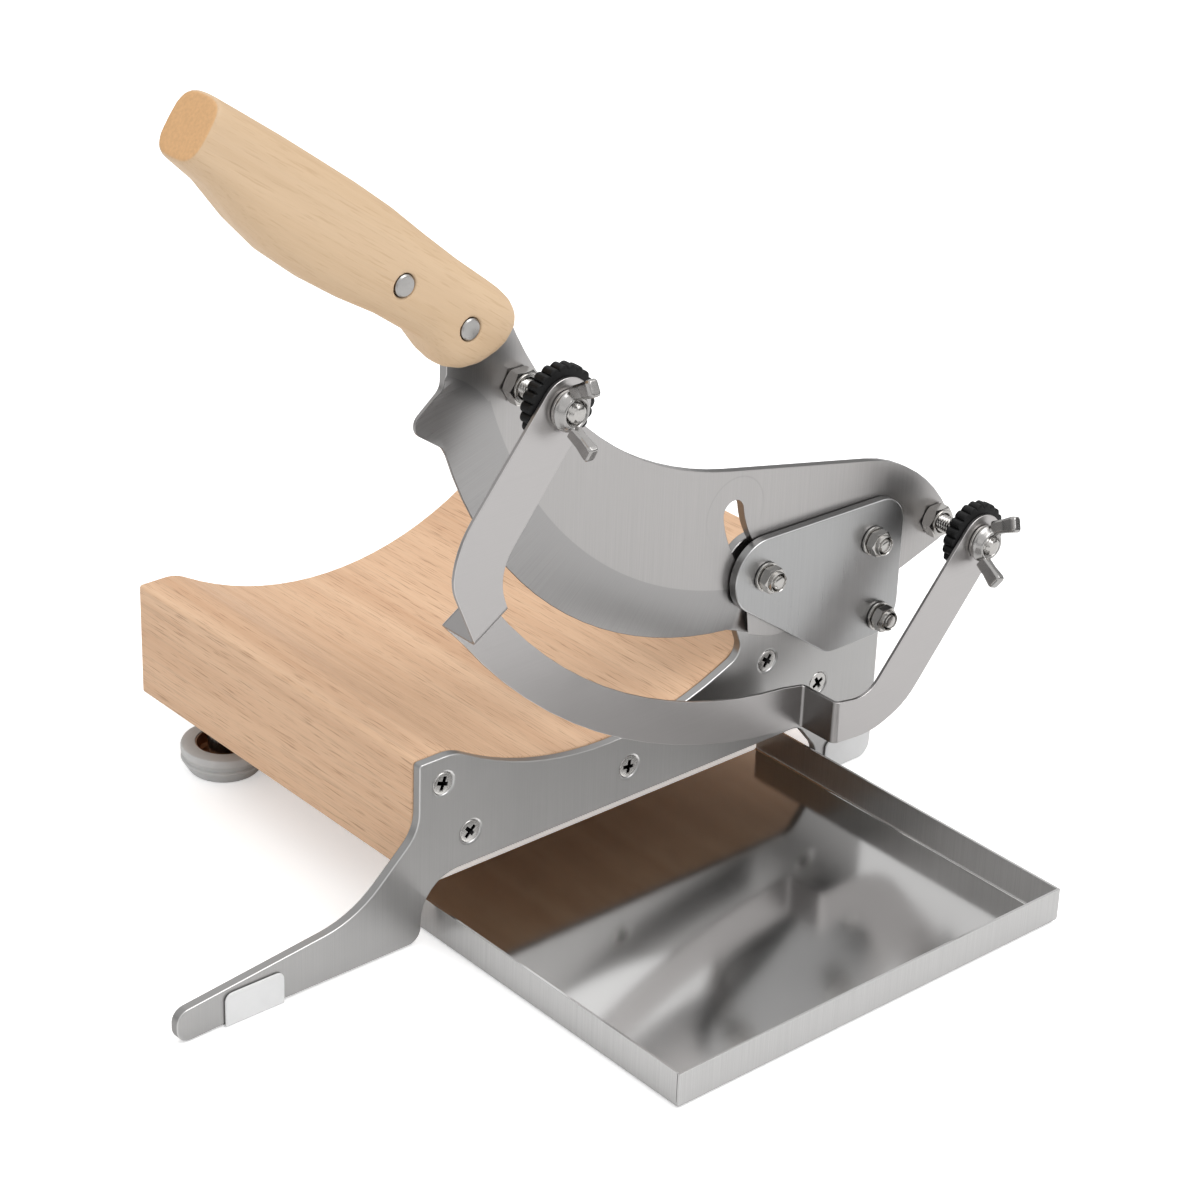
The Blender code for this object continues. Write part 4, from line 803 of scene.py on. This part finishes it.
def bright_steel(name, colour, roughness):
    """Plated steel with a little wear and very fine marks."""
    finish, tree, shader = finish_named(name, roughness, 1.0)
    marks = noise(tree, object_place(tree, even(0.0009)), detail=3.0, roughness=0.55)
    wear = noise(tree, object_place(tree, even(0.004)), detail=3.0)
    surfaced(tree, shader, varied(tree, ranged(tree, wear, *MOST), colour, 0.94, 1.05),
             ranged(tree, marks, *MOST, roughness - 0.03, roughness + 0.05), marks, PLATED_DEPTH)
    return finish


def recessed_steel():
    """Bright steel, painted near black as shade down inside a screw's recess."""
    finish, tree, shader = finish_named("screw_steel", 0.24, 1.0)
    marks = noise(tree, object_place(tree, even(0.0007)), detail=4.0, roughness=0.7)
    y = axes(tree, object_place(tree))[1]
    painted_shade = ranged(tree, y, *(SCREW_FACE + depth for depth in RECESS_SHADE_DEPTHS))
    face = varied(tree, marks, (0.50, 0.49, 0.475), 0.92, 1.08)
    # Painted shade: near black down inside the cross
    surfaced(tree, shader, tinted(tree, painted_shade, face, even(0.02)),
             ranged(tree, marks, *MOST, 0.20, 0.30), marks, GROUND_DEPTH)
    return finish


def wood(name, pale, deep, pore, end_tint, along_turn, run, end_axis, drawn_pores, lines):
    """Close-grained wood: bands and short pores run along the grain, and the ends show rings of pores."""
    finish, tree, shader = finish_named(name, 0.55)
    turn = (0.0, along_turn, 0.0)
    bands = noise(tree, object_place(tree, run[0], turn), detail=5.0, roughness=0.6, distortion=0.3)
    fibres = noise(tree, object_place(tree, run[1], turn), detail=4.0, roughness=0.65)
    pores = noise(tree, object_place(tree, run[2], turn), detail=2.0, roughness=0.5)
    specks = noise(tree, object_place(tree, even(0.0009), turn), detail=2.0)
    ends = ranged(tree, facing(tree, end_axis), 0.75, 0.95)
    tone = maths(tree, "MULTIPLY_ADD", bands, 0.6, maths(tree, "MULTIPLY", fibres, 0.4))
    ground = tinted(tree, ranged(tree, tone, 0.36, 0.64), deep, pale)
    body = tinted(tree, ranged(tree, fibres, 0.50, 0.66, 0.0, lines), ground, shade_of(deep, 0.72))
    drawn = ranged(tree, pores, 0.57, 0.70, 0.0, drawn_pores)
    open_ends = ranged(tree, specks, 0.50, 0.68, 0.0, 0.5)
    share = maths(tree, "MULTIPLY_ADD", ends, maths(tree, "SUBTRACT", open_ends, drawn), drawn)
    cut_end = varied(tree, ranged(tree, specks, *MOST), end_tint, 1.0, 0.88)
    grain = tinted(tree, share, body, pore)
    relief = maths(tree, "SUBTRACT", fibres, share)
    surfaced(tree, shader, tinted(tree, ends, grain, cut_end),
             ranged(tree, tone, *MOST, 0.62, 0.48), relief, PORE_DEPTH)
    return finish


def moulded(name, colour, roughness, grain, depth, spread, **constants):
    """Moulded plastic or rubber with a fine even texture."""
    finish, tree, shader = finish_named(name, roughness, **constants)
    texture = noise(tree, object_place(tree, even(grain)), detail=4.0, roughness=0.65)
    broad = noise(tree, object_place(tree, even(0.006)), detail=2.0)
    surfaced(tree, shader, varied(tree, ranged(tree, broad, *MOST), colour, 1.0 - spread, 1.0 + spread),
             ranged(tree, texture, *MOST, roughness - 0.07, roughness + 0.07), texture, depth)
    return finish


PLATE_STEEL = brushed_steel("plate_steel", (0.42, 0.415, 0.41), 0.34, "Z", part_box("front_plate")[0].y)
GUARD_STEEL = brushed_steel("guard_steel", (0.37, 0.37, 0.37), 0.30, "Z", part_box("guard_plate")[0].y)
GAUGE_STEEL = brushed_steel("gauge_steel", (0.45, 0.435, 0.43), 0.32, "X", 0.0, 0.04)
TRAY_STEEL = rolled_steel("tray_steel", (0.52, 0.515, 0.51), 0.13, 0.30)
KNIFE_STEEL = knife_steel()
FASTENER_STEEL = bright_steel("fastener_steel", (0.46, 0.447, 0.43), 0.20)
WING_STEEL = bright_steel("wing_steel", (0.38, 0.371, 0.362), 0.22)
RIVET_STEEL = bright_steel("rivet_steel", (0.38, 0.37, 0.36), 0.30)
# Bushes painted near black: painted shade in the gap between blade and plate
BUSH_SHADE_STEEL = bright_steel("bush_steel_painted_shade", (0.05, 0.045, 0.045), 0.45)
# Steel tinted brown: painted reflection of the block's shaded underside in the foot's cup
CUP_PAINTED_REFLECTION = bright_steel("foot_cup", (0.40, 0.26, 0.18), 0.34)
SCREW_STEEL = recessed_steel()
BLOCK_WOOD = wood("block_wood", (0.74, 0.50, 0.32), (0.57, 0.345, 0.205), (0.30, 0.155, 0.08),
                  (0.50, 0.30, 0.17), 0.0,
                  ((0.009, 0.35, 0.009), (0.00075, 0.060, 0.00075), (0.00045, 0.012, 0.00045)),
                  (0.0, 1.0, 0.0), 0.60, 0.45)
HANDLE_GRAIN = (math.cos(HANDLE_FALL), 0.0, -math.sin(HANDLE_FALL))
HANDLE_WOOD = wood("handle_wood", (0.66, 0.48, 0.31), (0.57, 0.40, 0.245), (0.40, 0.24, 0.12),
                   (0.70, 0.41, 0.19), HANDLE_FALL,
                   ((0.25, 0.008, 0.008), (0.050, 0.0009, 0.0009), (0.010, 0.0005, 0.0005)),
                   HANDLE_GRAIN, 0.28, 0.15)
BLACK_PLASTIC = moulded("black_plastic", (0.005, 0.005, 0.0053), 0.50, 0.0008, 0.00001, 0.2,
                        Specular_IOR_Level=0.22)
PAD_PLASTIC = moulded("pad_plastic", (0.70, 0.70, 0.70), 0.38, 0.0012, 0.000005, 0.02)
FOOT_RUBBER = moulded("foot_rubber", (0.52, 0.52, 0.515), 0.55, 0.0007, 0.00001, 0.05)
THREAD = thread_tree()
GRIP = lobe_tree()
COPIES = copies_tree()


# Wood and plates

def make_eased_pieces():
    """Block, plates, blade and pads: the CAD's own shapes with eased edges."""
    for node, name, body, slot, finish, ease in (
        ("wood_block", "board_block", "base", "block_wood", BLOCK_WOOD, (BLOCK_EASE, 3)),
        ("front_plate", "upright_plate", "base", "plate_steel", PLATE_STEEL, (PLATE_EASE, 2, CREASE, 0.0)),
        ("guard_plate", "hinge_guard", "base", "plate_steel", GUARD_STEEL, (PLATE_EASE,)),
        ("blade", "knife_blade", "knife", "blade_steel", KNIFE_STEEL, (SHEET_EASE, 2, BLADE_CREASE)),
        ("foot_pad_left", "pad_left", "base", "pad_plastic", PAD_PLASTIC, (PAD_EASE,)),
        ("foot_pad_right", "pad_right", "base", "pad_plastic", PAD_PLASTIC, (PAD_EASE,)),
    ):
        done(eased(cad_copy(node, name), *ease), body, slot, finish, node)


def outlines(node, y):
    """Outlines, in X and Z, of a CAD node's flat faces at one Y, the longest first."""
    form = welded(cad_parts[node].data)
    form.verts.index_update()
    form.verts.ensure_lookup_table()
    level, spots = faces_at(form, y, SAME_LEVEL)
    after = {}
    for face in level:
        for loop in face.loops:
            if sum(other.index in spots for other in loop.edge.link_faces) == 1:
                after[loop.vert.index] = loop.link_loop_next.vert.index
    rings = []
    while after:
        at, ring = next(iter(after)), []
        while at in after:
            ring.append(form.verts[at].co.xz)
            at = after.pop(at)
        rings.append([Vector(point) for point in ring])
    form.free()
    return sorted(rings, key=len, reverse=True)


def beyond(ring, corner, side, reach):
    """The outline's run past a fold's cut line, from one crossing of that line to the other."""
    depths = [(point - corner).dot(side) - reach for point in ring]
    first = next(i for i in range(len(ring)) if depths[i - 1] <= 0.0 < depths[i])
    run = []
    for step in range(len(ring)):
        i = (first + step) % len(ring)
        before = ring[i - 1]
        if (depths[i] > 0.0) != (depths[i - 1] > 0.0):
            run.append(before.lerp(ring[i], depths[i - 1] / (depths[i - 1] - depths[i])))
        if depths[i] > 0.0:
            run.append(ring[i])
    return run


def make_gauge():
    """The gauge: one strip folded twice at each end of its bar, with rounded folds."""
    low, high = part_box("thickness_gauge")
    arm_front, bar_back = low.y, high.y
    arm_back, bar_front = arm_front + GAUGE_SHEET, bar_back - GAUGE_SHEET
    front, back, skins, rims = [], [], [], {}

    def put(face_point, face_y, rear_point, rear_y):
        front.append((face_point.x, face_y, face_point.y))
        back.append((rear_point.x, rear_y, rear_point.y))
        return len(front) - 1

    def flat(points, face_y, rear_y):
        return [put(point, face_y, point, rear_y) for point in points]

    arms = outlines("thickness_gauge", arm_front)[:2]
    bar = outlines("thickness_gauge", bar_front)[0]
    cuts = []
    for start, end, side_sign in FOLDS:
        foot = Vector((PIVOT[0] + start[0], PIVOT[1] + start[1]))
        head = Vector((PIVOT[0] + end[0], PIVOT[1] + end[1]))
        along = (head - foot).normalized()
        side = Vector((along.y, -along.x)) * side_sign
        arm = min(arms, key=lambda ring: min((point - foot).length for point in ring))
        run = beyond(arm, foot, -side, FOLD_INNER)
        if (run[0] - foot).length < (run[-1] - foot).length:
            run.reverse()
        arm_line = flat(run, arm_front, arm_back)
        skins.append(arm_line)
        ends = sorted((run[0], run[-1]), key=lambda point: point.dot(along))
        near = [(ends[0] - foot).dot(along), (ends[1] - head).dot(along)]
        bar = beyond(bar, foot, side, GAUGE_SHEET + FOLD_INNER)
        cut = sorted((bar[0], bar[-1]), key=lambda point: point.dot(along))
        far = [(cut[0] - foot).dot(along), (cut[1] - head).dot(along)]
        lines = []
        for fold in (0, 1):
            for k in range(FOLD_STEPS + 1):
                share = k / FOLD_STEPS
                turn = share * math.pi / 2.0
                if fold == 0:
                    middle = arm_back + FOLD_INNER
                    reaches = [(-FOLD_INNER + r * math.sin(turn), middle - r * math.cos(turn))
                               for r in (FOLD_OUTER, FOLD_INNER)]
                    shifts = [near[0] * (1.0 - share), near[1] * (1.0 - share)]
                else:
                    middle = bar_front - FOLD_INNER
                    reaches = [(GAUGE_SHEET + FOLD_INNER - r * math.cos(turn), middle + r * math.sin(turn))
                               for r in (FOLD_INNER, FOLD_OUTER)]
                    shifts = [far[0] * share, far[1] * share]
                (face_depth, face_y), (rear_depth, rear_y) = reaches
                lines.append([
                    put(base + side * face_depth + along * shift, face_y,
                        base + side * rear_depth + along * shift, rear_y)
                    for base, shift in zip((foot, head), shifts)
                ])
        lines[0] = [arm_line[-1], arm_line[0]]
        skins += [[a[0], a[1], b[1], b[0]] for a, b in zip(lines, lines[1:])]
        cuts.append(lines)
    keep = [point for point in bar if all(
        (point - Vector(front[index][::2])).length > FOLD_CLEAR for lines in cuts for index in lines[-1])]
    left, right = cuts
    low_run = [point for point in keep if (point - Vector(BAR_CENTRE)).length > BAR_RADIUS]
    high_run = [point for point in keep if point not in low_run]
    low_run.sort(key=lambda point: point.x)
    high_run.sort(key=lambda point: -point.x)
    skins.append([left[-1][0], *flat(low_run, bar_front, bar_back), right[-1][0], right[-1][1],
                  *flat(high_run, bar_front, bar_back), left[-1][1]])
    shift = len(front)
    faces = [list(skin) for skin in skins] + [[i + shift for i in reversed(skin)] for skin in skins]
    for skin in skins:
        for i, j in zip(skin, skin[1:] + skin[:1]):
            key = (min(i, j), max(i, j))
            rims[key] = None if key in rims else (i, j)
    faces += [[pair[0], pair[0] + shift, pair[1] + shift, pair[1]] for pair in rims.values() if pair]
    piece = closed(new_piece("slice_gauge", mesh_from("slice_gauge", front + back, faces)))
    for end in ("left", "right"):
        x, z = centre(f"gauge_stud_{end}")
        near_y, far_y = arm_front - GAUGE_SHEET, arm_back + GAUGE_SHEET
        drill = spun("drill", [(0.0, near_y), (GAUGE_BORE, near_y), (GAUGE_BORE, far_y), (0.0, far_y)],
                     BORE_SIDES)
        drill.data.transform(Matrix.Translation((x, 0.0, z)))
        cut_out(piece, drill)
    done(eased(piece, SHEET_EASE), "gauge", "plate_steel", GAUGE_STEEL, "thickness_gauge")


def make_tray():
    """Folded sheet: rounded bends along the floor and a fine seam up each front corner."""
    piece = cad_copy("tray", "catch_tray")
    low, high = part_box("tray")
    form = opened(piece.data)
    weight = form.edges.layers.float.new("bevel_weight_edge")
    for edge in form.edges:
        middle = (edge.verts[0].co + edge.verts[1].co) / 2
        if abs(edge.verts[0].co.z - edge.verts[1].co.z) > WELD or middle.y > high.y - WELD:
            continue
        if middle.z < low.z + TRAY_SHEET / 2:
            edge[weight] = 1.0
        elif middle.z < low.z + 2 * TRAY_SHEET:
            edge[weight] = (TRAY_BEND - TRAY_SHEET) / TRAY_BEND
    put_back(form, piece)
    bend = piece.modifiers.new("bends", "BEVEL")
    bend.width = TRAY_BEND
    bend.segments = BEND_STEPS
    bend.limit_method = "WEIGHT"
    bend.use_clamp_overlap = False
    kept(piece)
    saws = []
    seam_foot, seam_head = low.z + TRAY_BEND + 2 * SEAM, high.z + TRAY_SHEET
    for x in (low.x, high.x):
        saw = bmesh.new()
        bmesh.ops.create_cube(saw, size=1.0)
        middle = Vector((x, low.y + TRAY_SHEET + SEAM / 2, (seam_foot + seam_head) / 2))
        span = Vector((SEAM_REACH, SEAM, seam_head - seam_foot))
        for vert in saw.verts:
            vert.co = middle + vert.co * span
        saws.append(piece_of(saw, "saw"))
    cut_out(piece, *saws)
    done(eased(piece, SHEET_EASE / 2), "tray", "tray_steel", TRAY_STEEL, "tray")


# Knife handle

def make_handle():
    """Sanded handle, and the rivets through it."""
    piece = melted(cad_copy("handle", "knife_handle", flat=False), HANDLE_GRIT, HANDLE_STROKES)
    done(piece, "knife", "handle_wood", HANDLE_WOOD, "handle")
    radius, front, back = round_box("handle_rivet_1")
    edge = from_face(RIVET_EDGE, 0.0, radius)
    master = spun("rivet", [
        (0.0, front), *((reach, front + depth) for reach, depth in edge),
        *((reach, back - depth) for reach, depth in reversed(edge)), (0.0, back),
    ])
    nodes = ("handle_rivet_1", "handle_rivet_2")
    places = [(*centre(node), 0.0) for node in nodes]
    set_out("handle_rivets", master, places, "knife", "fastener_steel", RIVET_STEEL, *nodes)


# Fasteners

def make_plate_screws():
    """Countersunk heads with a tapered cross recess."""
    radius, front, back = round_box("plate_screw_1")
    radius -= SCREW_SLACK
    master = spun("plate_screw", [
        (0.0, front), *from_face(SCREW_EDGE, front, radius),
        (SCREW_SHANK, front + radius - SCREW_SHANK), (SCREW_SHANK, back - SCREW_POINT), (0.0, back),
    ])
    cross = []
    for turn in (0.0, math.pi / 2):
        bar = bmesh.new()
        ends = [[bar.verts.new((x * half, front + depth, z * wide)) for x, z in SQUARE]
                for depth, half, wide in CROSS]
        ringed(bar, ends)
        bmesh.ops.recalc_face_normals(bar, faces=bar.faces)
        bmesh.ops.rotate(bar, verts=bar.verts, cent=(0, 0, 0), matrix=Matrix.Rotation(turn, 3, "Y"))
        cross.append(piece_of(bar, "cross"))
    cut_out(master, *cross)
    nodes = [f"plate_screw_{number}" for number in range(1, 6)]
    places = [(*centre(node), turn) for node, turn in zip(nodes, SCREW_TURNS)]
    set_out("plate_screws", master, places, "base", "fastener_steel", SCREW_STEEL, *nodes,
            crease=CROSS_CREASE)


def ringed(form, rings):
    """Joins rings of points, one after another, and closes both ends."""
    for a, b in zip(rings, rings[1:]):
        for i in range(len(a)):
            j = (i + 1) % len(a)
            form.faces.new((a[i], a[j], b[j], b[i]))
    form.faces.new(rings[0][::-1])
    form.faces.new(rings[-1])


def make_hinge_fasteners():
    """Washer, lock nut and bolt of the pivot, the guide and the lower bolt; their bushes are only painted,
    near black as painted shade.
    """
    kinds = ("pivot", "guide", "lower")
    places = [(*centre(f"{kind}_bolt"), 0.0) for kind in kinds]
    radius, front, back = round_box("pivot_washer")
    washer = rounded_run(HINGE_WASHER_BORE, radius, front, back, RING_EASE)

    low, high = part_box("pivot_lock_nut")
    hexagon = high.y - LOCK_NUT_HEXAGON
    nut = [
        *from_face(LOCK_NUT_COLLAR, low.y), (COLLAR_FOOT, hexagon),
        *hexagon_rows(LOCK_NUT_FLATS, LOCK_NUT_FACE, hexagon, high.y), *from_face(LOCK_NUT_BACK, high.y),
    ]
    low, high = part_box("pivot_bolt")
    bolt = [*from_face(BOLT_END, low.y), *from_face(BOLT_HEAD, high.y)]

    for kind, rows in (("washer", washer), ("lock_nut", nut), ("bolt", bolt)):
        group = kind if kind == "lock_nut" else f"hinge_{kind}"
        set_out(f"{group}s", spun(group, rows), places, "base", "fastener_steel", FASTENER_STEEL,
                *[f"{spot}_{kind}" for spot in kinds])
    for kind in kinds:
        painted(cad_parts[f"{kind}_bush"], BUSH_SHADE_STEEL)


def make_gauge_studs():
    """Threaded studs with a hexagon head behind the blade, and the hexagon nut on each."""
    sides = ("left", "right")
    places = [(*centre(f"gauge_stud_{side}"), 0.0) for side in sides]
    low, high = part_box("gauge_stud_left")
    radius = STUD / 2
    start, end = low.y + THREAD_START, high.y - STUD_HEAD
    count = math.ceil((end - start) / STUD_PITCH * THREAD_STEPS)
    reach = hexagon_edge(STUD_FLATS)
    rows = [
        *from_face(STUD_END, low.y), *((radius, start + (end - start) * i / count) for i in range(count + 1)),
        lambda angle: (reach(angle), end), lambda angle: (reach(angle), high.y), (0.0, high.y),
    ]
    master = grown(spun("gauge_stud", rows, STUD_SIDES), THREAD, pitch=STUD_PITCH, depth=THREAD_DEPTH,
                   root_radius=radius - THREAD_DEPTH, finish=FASTENER_STEEL)
    set_out("gauge_studs", master, places, "knife", "fastener_steel", FASTENER_STEEL,
            *[f"gauge_stud_{side}" for side in sides])

    low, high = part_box("stud_nut_left")
    bore = radius + NUT_SLACK
    ring = low.y + NUT_RING
    rows = [
        (bore, ring + BORE_CHAMFER), (bore + BORE_CHAMFER, low.y), *from_face(NUT_RING_EDGE, low.y),
        (NUT_RING_EDGE[-1][0], ring), *hexagon_rows(STUD_FLATS, NUT_FACE, ring, high.y),
        (bore + BORE_CHAMFER, high.y), (bore, high.y - BORE_CHAMFER),
    ]
    set_out("stud_nuts", spun("stud_nut", rows), places, "knife", "fastener_steel", FASTENER_STEEL,
            *[f"stud_nut_{side}" for side in sides])


def make_gauge_clamps():
    """Knurled nut behind each arm of the gauge, washer and wing nut in front of it."""
    for side in ("left", "right"):
        spot = (*centre(f"gauge_stud_{side}"), 0.0)
        node = f"knurled_nut_{side}"
        radius, front, back = round_box(node)
        blank = spun("grip_blank", [
            *from_face(GRIP_FRONT, front), (radius, front + GRIP_EDGE), (radius, (front + back) / 2),
            (radius, back - GRIP_EDGE), *from_face(GRIP_BACK, back),
        ], LOBES * LOBE_SIDES)
        master = grown(blank, GRIP, lobes=float(LOBES), depth=LOBE_DEPTH, fullness=LOBE_FULLNESS,
                       inner_radius=LOBE_FOOT, outer_radius=radius, finish=BLACK_PLASTIC)
        set_out(f"grip_nut_{side}", master, [spot], node, "knob_plastic", BLACK_PLASTIC, node)

        node = f"gauge_washer_{side}"
        radius, front, back = round_box(node)
        master = spun("clamp_washer", rounded_run(CLAMP_WASHER_BORE, radius, front, back, RING_EASE))
        set_out(f"clamp_washer_{side}", master, [spot], node, "fastener_steel", FASTENER_STEEL, node)

        make_wing_nut(side)


def make_wing_nut(side):
    """A cast hub with two blunt wings that lean forward, melted together."""
    node = f"wing_nut_{side}"
    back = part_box(node)[1].y
    x, z = centre(f"gauge_stud_{side}")
    piece = spun(f"wings_{side}", from_face(WING_HUB, back))
    cast = opened(piece.data)
    for way in (1.0, -1.0):
        root, tip = (Vector((0.0, back + depth, way * out)) for depth, out in (WING_ROOT, WING_TIP))
        along = (tip - root).normalized()
        across = Vector((0.0, along.z, -along.y)) * way
        rings = []
        for share, wide, thick in WING_STATIONS:
            middle = root.lerp(tip, share)
            rings.append([
                cast.verts.new(middle + across * wide * v * 0.5 + Vector((thick * u * 0.5, 0.0, 0.0)))
                for u, v in WING_SECTION
            ])
        ringed(cast, rings)
    bmesh.ops.recalc_face_normals(cast, faces=cast.faces)
    put_back(cast, piece)
    piece.data.transform(Matrix.Translation((x, 0.0, z)) @ Matrix.Rotation(WING_TURN[side], 4, "Y"))
    done(melted(piece, WING_GRIT, WING_STROKES), node, "fastener_steel", WING_STEEL, node)


def stood(name, rows, x, y):
    """A turned piece that stands upright at a place on the table."""
    piece = spun(name, rows)
    piece.data.transform(Matrix.Translation((x, y, 0.0)) @ Matrix.Rotation(math.pi / 2, 4, "X"))
    return smooth(closed(piece))


def make_rear_feet():
    """Rubber feet with a steel cup in each, tinted brown as a painted reflection of the block's shaded
    underside; their screws and spacers are only painted.
    """
    low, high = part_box("rear_foot_left")
    top = high.z
    rubber = [(WELL, top), *from_face(FOOT_RIM, top, (high.x - low.x) / 2), *FOOT_UNDERSIDE]
    cup = [*CUP_OUTSIDE, *((radius, top - CUP_DROP) for radius in CUP_LIP), *CUP_INSIDE]
    for side in ("left", "right"):
        low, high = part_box(f"rear_foot_{side}")
        place = ((low.x + high.x) / 2, (low.y + high.y) / 2)
        foot = stood(f"rubber_foot_{side}", rubber, *place)
        done(foot, "base", "foot_rubber", FOOT_RUBBER, f"rear_foot_{side}")
        done(stood(f"foot_cup_{side}", cup, *place), "base", "foot_rubber", CUP_PAINTED_REFLECTION)
        for kind in ("screw", "spacer"):
            painted(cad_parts[f"rear_foot_{kind}_{side}"], FASTENER_STEEL)


# Studio

def make_table():
    """A white table top, lit a little more for the camera alone."""
    points = [(TABLE_REACH * x, TABLE_REACH * y, -TABLE_DROP) for x, y in SQUARE]
    table = new_piece("table_top", mesh_from("table_top", points, [(0, 1, 2, 3)]))
    finish, tree, shader = finish_named("table_white", 0.6)
    speckle = noise(tree, object_place(tree, even(0.02)), detail=2.0)
    tree.links.new(tinted(tree, speckle, even(0.90), even(0.92)), shader.inputs["Base Color"])
    shader.inputs["Emission Color"].default_value = (1.0, 1.0, 1.0, 1.0)
    seen = tree.nodes.new("ShaderNodeLightPath").outputs["Is Camera Ray"]
    tree.links.new(maths(tree, "MULTIPLY", seen, TABLE_LIFT), shader.inputs["Emission Strength"])
    table.data.materials.append(finish)


def softbox(name, at, toward, size, power):
    lamp = bpy.data.lights.new(name, "AREA")
    lamp.shape = "RECTANGLE"
    lamp.size, lamp.size_y = size
    lamp.energy = power
    stand = link(bpy.data.objects.new(name, lamp))
    stand.location = at
    stand.rotation_euler = (Vector(toward) - Vector(at)).to_track_quat("-Z", "Y").to_euler()


def make_studio():
    """Softboxes, and a sky that is bright overhead, dark at the horizon and aglow low on the left."""
    world = bpy.data.worlds.new("studio_air")
    scene.world = world
    world.use_nodes = True
    tree = world.node_tree
    air = tree.nodes["Background"]
    x, z = axes(tree, tree.nodes.new("ShaderNodeTexCoord").outputs["Generated"])[::2]
    ramp = tree.nodes.new("ShaderNodeValToRGB")
    tree.links.new(z, ramp.inputs[0])
    stops = ramp.color_ramp.elements
    while len(stops) < len(SKY_STOPS):
        stops.new(SKY_STOPS[len(stops) - 1][0])
    for stop, (height, light) in zip(stops, SKY_STOPS):
        stop.position = height
        stop.color = (*even(light), 1.0)
    low_left = maths(tree, "MULTIPLY", ranged(tree, x, -0.2, -0.9, 0.0, SKY_GLOW),
                     ranged(tree, z, 0.15, 0.6, 1.0, 0.0))
    glow = tree.nodes.new("ShaderNodeCombineXYZ")
    for socket in glow.inputs:
        tree.links.new(low_left, socket)
    tree.links.new(vectors(tree, "ADD", ramp.outputs[0], glow.outputs[0]), air.inputs["Color"])
    air.inputs["Strength"].default_value = SKY_STRENGTH
    for name, details in SOFTBOXES.items():
        softbox(name, *details)


def make_camera():
    lens = bpy.data.cameras.new("camera")
    lens.lens = LENS
    lens.sensor_width = SENSOR
    lens.clip_start, lens.clip_end = CLIP
    camera = link(bpy.data.objects.new("camera", lens))
    back = Vector((math.sin(CAMERA_TURN) * math.cos(CAMERA_RISE),
                   -math.cos(CAMERA_TURN) * math.cos(CAMERA_RISE), math.sin(CAMERA_RISE)))
    right = Vector((math.cos(CAMERA_TURN), math.sin(CAMERA_TURN), 0.0))
    up = back.cross(right)
    across = math.cos(CAMERA_ROLL) * right + math.sin(CAMERA_ROLL) * up
    raised = math.cos(CAMERA_ROLL) * up - math.sin(CAMERA_ROLL) * right
    turn = Matrix((across, raised, back)).transposed().to_4x4()
    camera.matrix_world = Matrix.Translation(CAMERA_AT) @ turn
    scene.camera = camera


make_eased_pieces()
make_gauge()
make_tray()
make_handle()
make_plate_screws()
make_hinge_fasteners()
make_gauge_studs()
make_gauge_clamps()
make_rear_feet()
make_table()
make_studio()
make_camera()
scene.view_settings.view_transform = "Standard"
